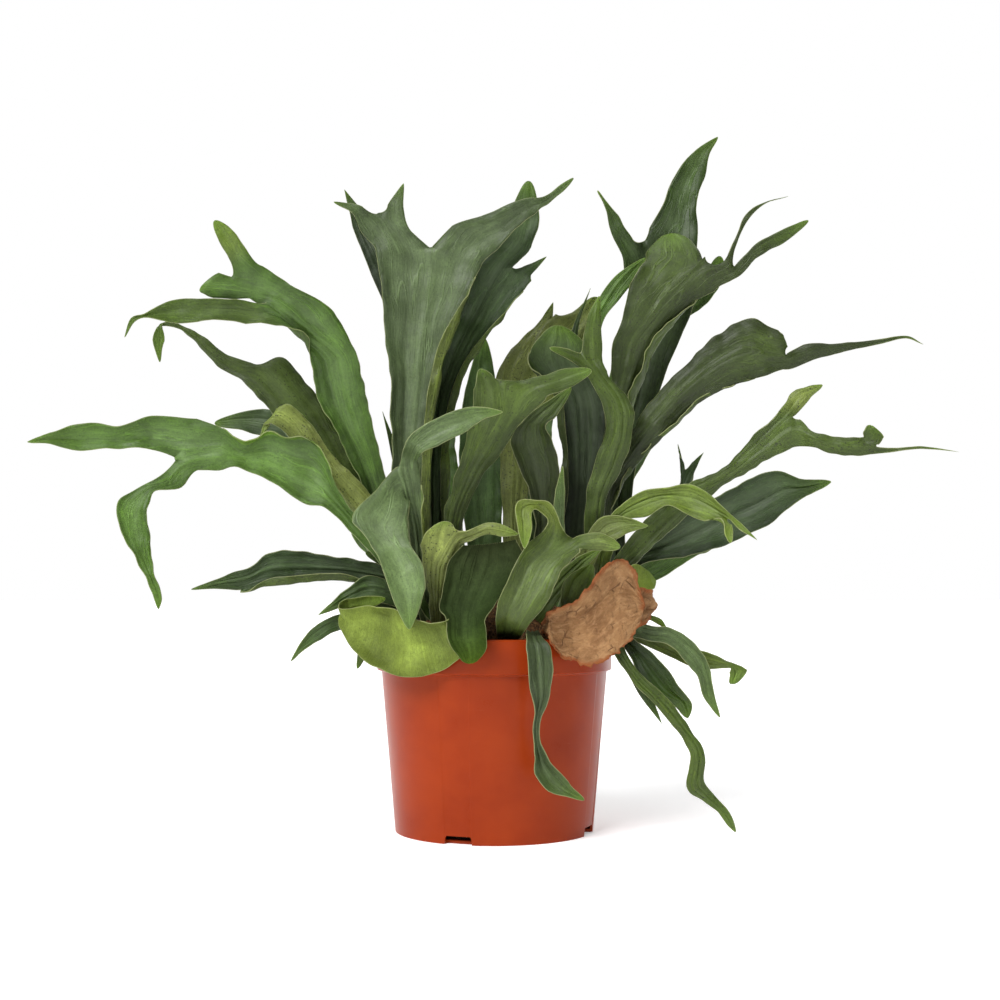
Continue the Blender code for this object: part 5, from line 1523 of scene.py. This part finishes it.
def leaf_material(name, rough=0.5, veins=1.0, grey_felt_and_painted_highlight=1.0, specks=1.0, shine=0.32):
    """Felted leaf: thin pale veins along it, fine streaks, grey felt inside the margins that is partly a
    painted highlight, painted shade towards the margins, a pale margin line that is partly a painted rim
    highlight, specks.
    """
    board = Board(name, Specular_IOR_Level=shine)
    place = board.place()
    leaf = board.node("UVMap", {"uv_map": "leaf"})
    tone = board.node("Attribute", {"attribute_name": "tone"})
    edge, under = board.value_of("edge"), board.value_of("under")
    wander = board.noise(board.stretched(leaf, (0.5, 0.16, 1)), 1.0, 2.0)
    drift = board.node("CombineXYZ", None, {"X": (wander - 0.5) * 0.5})
    bent = board.node("VectorMath", {"operation": "ADD"}, {0: leaf, 1: drift})
    lines = board.noise(board.stretched(bent, (2.1, 0.07, 1)), 1.0, 2.0, 0.5)
    small = board.noise(board.stretched(bent, (5.5, 0.2, 1)), 1.0, 2.0, 0.5)
    fine = board.noise(board.stretched(bent, (14.0, 0.5, 1)), 1.0, 3.0, 0.6)
    vein = 1 - board.ramp((lines - 0.5).size(), 0.002, 0.012)
    veinlet = 1 - board.ramp((small - 0.5).size(), 0.004, 0.02)
    felt = board.noise(place, 1500.0, 2.0, 0.6)
    patch = board.noise(place, 30.0, 4.0, 0.62, 0.5)
    cloud = board.noise(place, 110.0, 5.0, 0.7)
    fleck = board.noise(place, 480.0, 3.0, 0.65)
    shade = 0.94 + vein * (0.42 * veins) + veinlet * (0.2 * veins) + (fine - 0.5) * (0.8 * veins)
    shade = shade + (cloud - 0.5) * 0.7 + (fleck - 0.5) * 0.8 + (felt - 0.5) * 0.7
    colour = board.scaled(tone, shade)
    # painted light: the middle of the leaf is made lighter and greyer and its margins darker; the grey is
    # partly real felt and partly a painted highlight, and the darkening is painted shade
    inside = board.ramp(edge, 0.5, 15.0) * (0.6 + board.ramp(patch, 0.4, 0.62) * 0.4)
    colour = board.scaled(colour, 0.74 + inside * 0.46)
    grey = inside * (0.17 * grey_felt_and_painted_highlight) * (1 - under * 0.8)
    colour = board.mix(grey, colour, board.scaled(srgb(126, 138, 112), 0.6 + fine * 0.8))
    spots = board.cells(place, 430.0)
    chosen = board.noise(place, 110.0, 2.0)
    dark = (1 - board.ramp(spots, 0.16, 0.36)) * board.ramp(chosen, 0.46, 0.58)
    colour = board.mix(dark * (0.85 * specks) * (0.35 + under * 0.65), colour, srgb(38, 42, 22))
    # pale margin line: partly the leaf's own pale edge, partly a painted rim highlight
    rim = 1 - board.ramp(edge + (cloud - 0.5) * 0.5, 0.1, 0.5)
    colour = board.mix(rim * 0.42, colour, srgb(170, 174, 122))
    gloss = rough + (felt - 0.5) * 0.2 + (patch - 0.5) * 0.3 - vein * 0.06
    height = vein * 0.6 + veinlet * 0.3 + fine * 0.5 + felt * 0.12 + cloud * 0.7 + fleck * 0.2
    return board.finish(colour, gloss, height, deep=0.0009, strength=0.6)


def dry_shield_material():
    """Dead papery shield: tan skin with darker fibres, cracks, stains and frayed orange margins."""
    board = Board("dry_shield", Specular_IOR_Level=0.25)
    place = board.place()
    leaf = board.node("UVMap", {"uv_map": "leaf"})
    edge = board.value_of("edge")
    patch = board.noise(place, 45.0, 5.0, 0.62, 0.5)
    fibre = board.noise(board.stretched(leaf, (6.0, 1.1, 1)), 1.0, 4.0, 0.65, 0.8)
    grain = board.noise(place, 700.0, 3.0, 0.65)
    crack = board.cells(place, 75.0, "DISTANCE_TO_EDGE")
    torn = board.ramp(board.noise(place, 95.0, 3.0), 0.5, 0.62)
    colour = board.mix(board.ramp(patch, 0.3, 0.7), srgb(110, 74, 43), srgb(154, 115, 75))
    colour = board.mix(board.ramp(fibre, 0.42, 0.7) * 0.4, colour, srgb(190, 150, 106))
    colour = board.mix((1 - board.ramp(crack, 0.004, 0.03)) * torn * 0.8, colour, srgb(84, 52, 30))
    rim = 1 - board.ramp(edge + (fibre - 0.5) * 6, 0.5, 5.5)
    colour = board.mix(rim * 0.8, colour, srgb(134, 68, 28))
    colour = board.scaled(colour, 0.8 + grain * 0.4)
    height = patch * 0.8 + fibre * 0.6 + grain * 0.35 + board.ramp(crack, 0.0, 0.05) * torn * 0.6
    return board.finish(colour, 0.78 + (grain - 0.5) * 0.2, height, deep=0.0016, strength=0.8)


def pot_material():
    """Injection-moulded plastic: faint flow marks, fine scuffs and a soft satin shine."""
    board = Board("pot_plastic", Specular_IOR_Level=0.12)
    place = board.place()
    flow = board.noise(board.stretched(place, (6.0, 6.0, 38.0)), 1.0, 3.0, 0.5, 0.3)
    cloud = board.noise(place, 22.0, 4.0, 0.6)
    grain = board.noise(place, 2200.0, 2.0, 0.6)
    scuff = board.noise(board.stretched(place, (60.0, 60.0, 900.0)), 1.0, 3.0, 0.6)
    mark = board.ramp(scuff, 0.66, 0.8)
    colour = board.mix(board.ramp(cloud, 0.3, 0.7), srgb(140, 47, 12), srgb(151, 54, 15))
    colour = board.mix(mark * 0.14, colour, srgb(190, 120, 92))
    colour = board.scaled(colour, 0.97 + (flow - 0.5) * 0.12)
    rough = 0.3 + (cloud - 0.5) * 0.12 + mark * 0.14 + (grain - 0.5) * 0.06
    return board.finish(colour, rough, flow * 0.5 + grain * 0.06, deep=0.0005, strength=0.35)


def soil_material():
    """Peat and bark crumbs with a few pale grains."""
    board = Board("potting_mix", Specular_IOR_Level=0.2)
    place = board.place()
    crumb = board.noise(place, 260.0, 5.0, 0.7)
    lump = board.cells(place, 170.0)
    shade = board.mix(board.ramp(crumb, 0.35, 0.7), srgb(30, 22, 15), srgb(92, 68, 46))
    pick = board.cells(place, 230.0, out=1)
    pale = board.ramp(board.node("SeparateColor", None, {"Color": pick}), 0.93, 0.95)
    shade = board.mix(pale * 0.7, shade, srgb(196, 186, 168))
    height = crumb + lump * 0.7
    return board.finish(shade, 0.85 + (crumb - 0.5) * 0.2, height, deep=0.004, strength=0.9)


def rhizome_material():
    """Crown of brown papery scales and fibre."""
    board = Board("crown_fibre", Specular_IOR_Level=0.2)
    place = board.place()
    fibre = board.noise(board.stretched(place, (420.0, 420.0, 90.0)), 1.0, 4.0, 0.65, 0.6)
    cloud = board.noise(place, 60.0, 4.0, 0.6)
    colour = board.mix(board.ramp(fibre, 0.35, 0.7), srgb(52, 34, 20), srgb(134, 96, 60))
    colour = board.scaled(colour, 0.6 + cloud * 0.8)
    return board.finish(colour, 0.8 + (fibre - 0.5) * 0.2, fibre + cloud, deep=0.003, strength=0.9)


def floor_material():
    glow = {"Emission_Color": (1, 1, 1, 1), "Emission_Strength": 0.3}
    board = Board("studio_floor", Roughness=0.9, Specular_IOR_Level=0.1, **glow)
    board.feed(board.shader.inputs["Base Color"], (0.93, 0.93, 0.935))
    return board.material


# ---------------------------------------------------------------- pot, soil and crown


def turned(profile, sides, closed=False):
    """Points and quads of a profile of (radius, height) carried round the Z axis at the given angles.
    The profile may hold arrays, one value for each angle."""
    angles = np.asarray(sides, float)
    rings = [np.stack([r * np.cos(angles), r * np.sin(angles), z + 0 * angles], -1) for r, z in profile]
    points = np.concatenate(rings)
    count, many = len(angles), len(profile)
    ring = np.arange(many if closed else many - 1)[:, None] * count
    above = (np.arange(many if closed else many - 1)[:, None] + 1) % many * count
    here, after = np.arange(count)[None], (np.arange(count)[None] + 1) % count
    quads = np.stack([ring + here, ring + after, above + after, above + here], -1).reshape(-1, 4)
    return points, quads


def rounded_profile(corners, radius, steps=5):
    """A polyline with its inner corners cut to arcs: quadratic curves that start and end a radius away."""
    corners = np.array(corners, float)
    out = [corners[:1]]
    for before, at, after in zip(corners[:-2], corners[1:-1], corners[2:]):
        back, ahead = before - at, after - at
        reach_back = min(radius, 0.45 * np.linalg.norm(back))
        reach_ahead = min(radius, 0.45 * np.linalg.norm(ahead))
        first = at + back / np.linalg.norm(back) * reach_back
        last = at + ahead / np.linalg.norm(ahead) * reach_ahead
        t = np.linspace(0, 1, steps)[:, None]
        out.append((1 - t) ** 2 * first + 2 * t * (1 - t) * at + t**2 * last)
    out.append(corners[-1:])
    return np.concatenate(out)


# four notches in the foot: middle directions, height, half width and rounding of the ends, in
# millimetres round a circle of FOOT_RADIUS
FOOT_RADIUS = 80
NOTCH_ANGLES = np.radians(250.0 + 90.0 * np.arange(4))
NOTCH_HEIGHT = 6.3
NOTCH_HALF = 9.4
NOTCH_ROUND = 1.7
# the notches' effect on the wall fades out below this height, in millimetres
NOTCH_REACH = 40
PLATE_RADIUS = 78.6


def pot_angles():
    """Even angles, with more of them at the ends of each notch."""
    even = np.linspace(0, 2 * math.pi, 288, endpoint=False)
    near = NOTCH_ANGLES[:, None] + np.array([-1, 1])[None] * ((NOTCH_HALF + 1.2) / FOOT_RADIUS)
    fine = (near.ravel()[:, None] + np.linspace(-0.02, 0.02, 15)[None]).ravel()
    return np.unique(np.round(np.mod(np.concatenate([even, fine]), 2 * math.pi), 5))


def notch_height(angles):
    """Height of the wall's lower edge: zero, and NOTCH_HEIGHT over each notch, with rounded ends."""
    turn = (angles[:, None] - NOTCH_ANGLES[None] + math.pi) % (2 * math.pi) - math.pi
    apart = np.abs(turn).min(1) * FOOT_RADIUS
    past = np.clip((apart - NOTCH_HALF) / NOTCH_ROUND, 0, 1)
    return NOTCH_HEIGHT * np.sqrt(np.clip(1 - past**2, 0, 1))


def make_pot(material):
    """The pot: a wall ring with a rim band and notched foot, and the base plate, in one piece."""
    angles = pot_angles()
    foot = notch_height(angles)
    outer = rounded_profile([(79.4, 0), (91.0, 127.2), (94.6, 127.9), (95.0, 153.6), (94.2, 154.2)], 0.9)
    inner = rounded_profile([(93.2, 154.1), (92.9, 130.0), (89.0, 126.2), (77.7, 1.5)], 1.2)
    corners = [*outer, *inner]
    profile = [(r, foot * (1 - min(z / NOTCH_REACH, 1)) + z) for r, z in corners]
    wall, wall_quads = turned(profile, angles, closed=True)
    cut = PLATE_RADIUS - 4.4 * np.clip(foot / 2, 0, 1)
    hole = 0.5 + 0 * cut
    plate = [(hole, 0.0), (cut - 0.5, 0.0), (cut, 0.5), (cut, 2.1), (cut - 0.5, 2.6), (hole, 2.6)]
    base, base_quads = turned(plate, angles)
    count = len(angles)
    caps = [list(range(count))[::-1], list(range(len(base) - count, len(base)))]
    first = len(wall)
    faces = wall_quads.tolist() + (base_quads + first).tolist()
    faces += [[first + p for p in cap] for cap in caps]
    pot = make_piece("pot_moulding", np.concatenate([wall, base]), faces, material)
    edge_split = pot.modifiers.new("crisp_edges", "EDGE_SPLIT")
    edge_split.split_angle = math.radians(40)
    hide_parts("pot")
    return pot


def make_soil(material):
    """Root ball and potting mix: the pot's inside shape, with a crumbly top."""
    angles = np.linspace(0, 2 * math.pi, 200, endpoint=False)
    side = [(69.5, 3.0), (71.8, 9.0), (77.9, 12.5), (88.2, 126.0), (92.1, 130.5), (92.3, 139.5)]
    top = [(92.3 * s, 140.6) for s in np.linspace(0.99, 0.02, 60)]
    points, quads = turned(side + top, angles)
    start = len(side) * len(angles)
    crumbs = points[start:]
    points[start:, 2] += 0.7 * waves(crumbs, 9, 3) + 0.5 * waves(crumbs, 4, 4) - 0.6
    count = len(angles)
    caps = [list(range(count))[::-1], list(range(len(points) - count, len(points)))]
    soil = make_piece("potting_mix", points, quads.tolist() + caps, material)
    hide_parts("soil")
    return soil


def make_rhizome(material):
    """The crown: a dome of overlapping scales, radius raised and lowered by a scale pattern."""
    turns, lifts = 260, 110
    scale_rows, scales_round = 26, 9
    turn = np.linspace(0, 2 * math.pi, turns, endpoint=False)
    low = math.asin((SOIL_TOP + CROWN_GAP - RHIZOME_CENTRE[2]) / RHIZOME_RADII[2])
    lift = np.linspace(low, math.pi / 2 - 0.02, lifts)
    up, around = np.meshgrid(lift, turn, indexing="ij")
    outward = np.stack([np.cos(up) * np.cos(around), np.cos(up) * np.sin(around), np.sin(up)], -1)
    row = np.floor(up * scale_rows)
    across = around * scales_round + 0.5 * (row % 2)
    edge = np.abs(across - np.round(across)) * 2
    rise = (up * scale_rows - row) * (1 - edge**2)
    scale = 1 - 0.028 + 0.02 * rise
    points = RHIZOME_CENTRE + (RHIZOME_RADII * outward) * scale[..., None]
    points = points.reshape(-1, 3)
    points += 0.5 * waves(points, 10, 8)[:, None] * outward.reshape(-1, 3)
    points[:turns, 2] = SOIL_TOP + CROWN_GAP
    ring, here = np.arange(lifts - 1)[:, None] * turns, np.arange(turns)[None]
    after = (here + 1) % turns
    above = ring + turns
    quads = np.stack([ring + here, ring + after, above + after, above + here], -1).reshape(-1, 4)
    caps = [list(range(turns))[::-1], list(range(len(points) - turns, len(points)))]
    crown = make_piece("crown_scales", points, quads.tolist() + caps, material)
    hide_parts("rhizome")
    return crown


# ---------------------------------------------------------------- studio


def make_floor():
    """Plain pale floor, level and wide."""
    points = [(-30000, -30000, 0), (30000, -30000, 0), (30000, 60000, 0), (-30000, 60000, 0)]
    floor = make_piece("studio_floor", points, [[0, 1, 2, 3]], floor_material(), ride=False)


def aimed(away):
    """Rotation that points a light's beam along minus the given direction."""
    return (math.atan2(math.hypot(away[0], away[1]), away[2]), 0.0, math.atan2(away[0], -away[1]))


def make_light(name, kind, away):
    """A light and its data, turned so that its beam comes from a direction."""
    data = bpy.data.lights.new(name, kind)
    light = bpy.data.objects.new(name, data)
    bpy.context.scene.collection.objects.link(light)
    light.rotation_euler = aimed(away)
    return light, data


# direction it comes from, strength and angular size in degrees
SUNS = {
    "key_light": ((-0.65, -0.8, 1.0), 3.5, 34),
    "top_light": ((0.25, 0.3, 1.0), 1.7, 70),
}
# upright strips aimed at the pot's middle: place and width in metres, and power in watts
STRIPS = {
    "left_strip": ((-0.62, -1.1, 0.2), 0.14, 1.3),
    "right_strip": ((0.8, -0.95, 0.2), 0.03, 0.8),
    "left_edge": ((-0.95, 0.7, 0.2), 0.06, 0.8),
    "right_edge": ((0.75, 0.9, 0.2), 0.04, 0.8),
}
STRIP_HEIGHT = 0.9
POT_MIDDLE = np.array([0, 0, 0.08])
# strength of the white surroundings as light, and as seen behind the plant
AIR_LIGHT, AIR_SEEN = 0.08, 1.0
# camera: place in metres, rise above level in degrees, lens and sensor in millimetres. The place and
# the rise come from a helper script's least-squares fit to the pot.
CAMERA_PLACE = (0.00462, -1.1426, 0.1863)
CAMERA_RISE = 3.953
LENS, SENSOR = 50.4, 36.0


def make_studio():
    """Floor, lights, white surroundings and camera."""
    make_floor()
    for name, (away, strength, spread) in SUNS.items():
        _, data = make_light(name, "SUN", away)
        data.energy, data.angle = strength, math.radians(spread)
    for name, (place, width, power) in STRIPS.items():
        light, data = make_light(name, "AREA", place - POT_MIDDLE)
        data.shape, data.size, data.size_y = "RECTANGLE", width, STRIP_HEIGHT
        data.energy, light.location = power, place
    world = bpy.data.worlds.new("studio_air")
    world.use_nodes = True
    tree = world.node_tree
    air = tree.nodes["Background"]
    air.inputs["Color"].default_value = (1, 1, 1, 1)
    seen = tree.nodes.new("ShaderNodeLightPath")
    level = tree.nodes.new("ShaderNodeMapRange")
    level.inputs["To Min"].default_value = AIR_LIGHT
    level.inputs["To Max"].default_value = AIR_SEEN
    tree.links.new(seen.outputs["Is Camera Ray"], level.inputs["Value"])
    tree.links.new(level.outputs["Result"], air.inputs["Strength"])
    bpy.context.scene.world = world
    lens = bpy.data.cameras.new("studio_camera")
    lens.sensor_width, lens.lens = SENSOR, LENS
    lens.clip_end = 60
    camera = bpy.data.objects.new("studio_camera", lens)
    bpy.context.scene.collection.objects.link(camera)
    camera.location = CAMERA_PLACE
    camera.rotation_euler = (math.radians(90 + CAMERA_RISE), 0.0, 0.0)
    bpy.context.scene.camera = camera
    view = bpy.context.scene.view_settings
    view.view_transform = "Standard"
    view.look = "None"


# ---------------------------------------------------------------- everything together

# ruffle, roll and quilting in millimetres, how far the margin is torn, and how fine the grid is
PLAIN_SHAPING = (1.7, 0.9, 0.6, 0.0, 1.0)
SHAPING = {
    "shield_dark": (0.8, 0.5, 0.9, 0.0, 1.6),
    "shield_lime": (1.6, 0.2, 1.3, 0.0, 1.6),
    "shield_brown": (1.6, 0.6, 0.7, 4.0, 2.4),
    "shield_brown_side": (1.8, 0.4, 1.6, 4.0, 2.0),
    "frond_front_wavy": (2.0, 1.0, 0.6, 0.0, 1.4),
    "frond_right_curly": (1.8, 1.0, 0.6, 0.0, 1.4),
    "frond_front_left": (1.2, 0.9, 0.7, 0.0, 1.4),
    "frond_front_centre": (1.2, 0.9, 0.6, 0.0, 1.4),
}
# leaves that are darker or lighter than their tone, typed after reading a helper script's colour ratios
# partly painted light and shade: besides each leaf's own tone, these numbers darken or lighten leaves to
# stand in for how much light they catch
LEAF_BRIGHTNESS_WITH_PAINTED_SHADE = {
    "frond_back_dark": 0.5,
    "frond_back_mid": 2.4,
    "frond_back_tall_left": 0.45,
    "frond_centre_curved": 0.42,
    "frond_centre_dark": 1.15,
    "frond_centre_tall": 0.57,
    "frond_front_strap": 1.3,
    "frond_front_wavy": 1.35,
    "frond_left_folded": 1.4,
    "frond_left_long": 1.1,
    "frond_left_small": 1.5,
    "frond_left_small_low": 1.5,
    "frond_right_curly": 1.2,
    "frond_right_long": 0.5,
    "frond_right_olive": 0.6,
    "frond_right_tall": 0.37,
    "frond_trailing_dark": 0.7,
    "frond_trailing_fresh": 0.6,
    "frond_trailing_front": 0.45,
    "frond_trailing_long": 1.3,
    "frond_trailing_right": 0.9,
    "shield_dark": 0.72,
    "shield_lime_right": 1.2,
    "shield_small_green": 0.7,
}
# long folds: share of the width and height in millimetres, for leaves with more than slight ones
FOLDS = {
    "shield_lime": [(0.14, 3.0), (0.28, -4.0), (0.42, 3.5), (0.56, -5.0), (0.7, 3.5), (0.84, -4.0)],
    "shield_dark": [(0.3, 1.5), (0.62, -1.5)],
    "frond_left_long": [(0.35, 2.5), (0.7, -2.5)],
    "frond_left_arching": [(0.3, -2.5), (0.62, 2.5)],
    "frond_right_dark": [(0.5, -3.0)],
    "frond_right_tall": [(0.45, -3.0)],
    "frond_centre_tall": [(0.3, -2.0), (0.55, 3.0), (0.8, -2.0)],
    "frond_front_left": [(0.45, 3.0), (0.75, -2.0)],
    "frond_centre_dark": [(0.35, -2.5), (0.65, 2.0)],
    "frond_left_low": [(0.5, 2.5)],
}
# shield leaves whose veins fan out from the stalk side, across the strip
FANNED = ("shield_lime", "shield_lime_right")
# a turned margin shows the leaf's paler side
HEM_GAIN = np.array([1.5, 1.45, 0.95])
# margins turned over: side (0 left, 1 right), start and end as shares of the length, width in
# millimetres, and the face that they lie on (1 upper, -1 under)
HEMS = {
    "frond_centre_tall": [(1, 0.15, 0.99, 14.0, 1)],
    "frond_centre_dark": [(1, 0.1, 0.99, 12.0, 1)],
    "frond_left_olive": [(1, 0.1, 0.62, 11.0, -1)],
    "frond_left_low": [(0, 0.3, 0.85, 11.0, 1)],
    "frond_back_dark": [(0, 0.25, 0.9, 9.0, 1)],
    "frond_right_olive": [(0, 0.5, 0.97, 12.0, -1)],
    "frond_right_long": [(0, 0.3, 0.95, 6.0, -1)],
    "frond_front_left": [(1, 0.2, 0.9, 6.0, 1)],
    "frond_left_long": [(1, 0.5, 0.95, 3.0, 1)],
}
# slot names for the tones that are shield leaves, and the others after their tone; each leaf's is looked
# up, but no piece is given a slot
SLOTS = {"lime": "shield_lime", "brown": "shield_brown"}


def make_fronds():
    """Every frond, shield leaf and small leaf, each with its finish."""
    leaf = leaf_material("felted_leaf")
    shield = leaf_material("green_shield", rough=0.62, veins=0.5, grey_felt_and_painted_highlight=0.3, specks=0.6, shine=0.16)
    felt = leaf_material("felted_shield", rough=0.8, veins=0.12, grey_felt_and_painted_highlight=0.25, specks=1.0, shine=0.06)
    glossy = leaf_material("glossy_leaf", rough=0.3, veins=0.6, grey_felt_and_painted_highlight=0.2, specks=0.3)
    dry = dry_shield_material()
    finishes = {"lime": shield, "gloss": glossy, "brown": dry}
    for seed, (name, (tone, node)) in enumerate(FRONDS.items()):
        finish = felt if name == "shield_dark" else finishes.get(tone, leaf)
        piece = make_frond(name, tone, node, finish, seed)
        SLOTS.get(tone, "frond_" + tone)


make_studio()
make_pot(pot_material())
make_soil(soil_material())
make_rhizome(rhizome_material())
make_fronds()
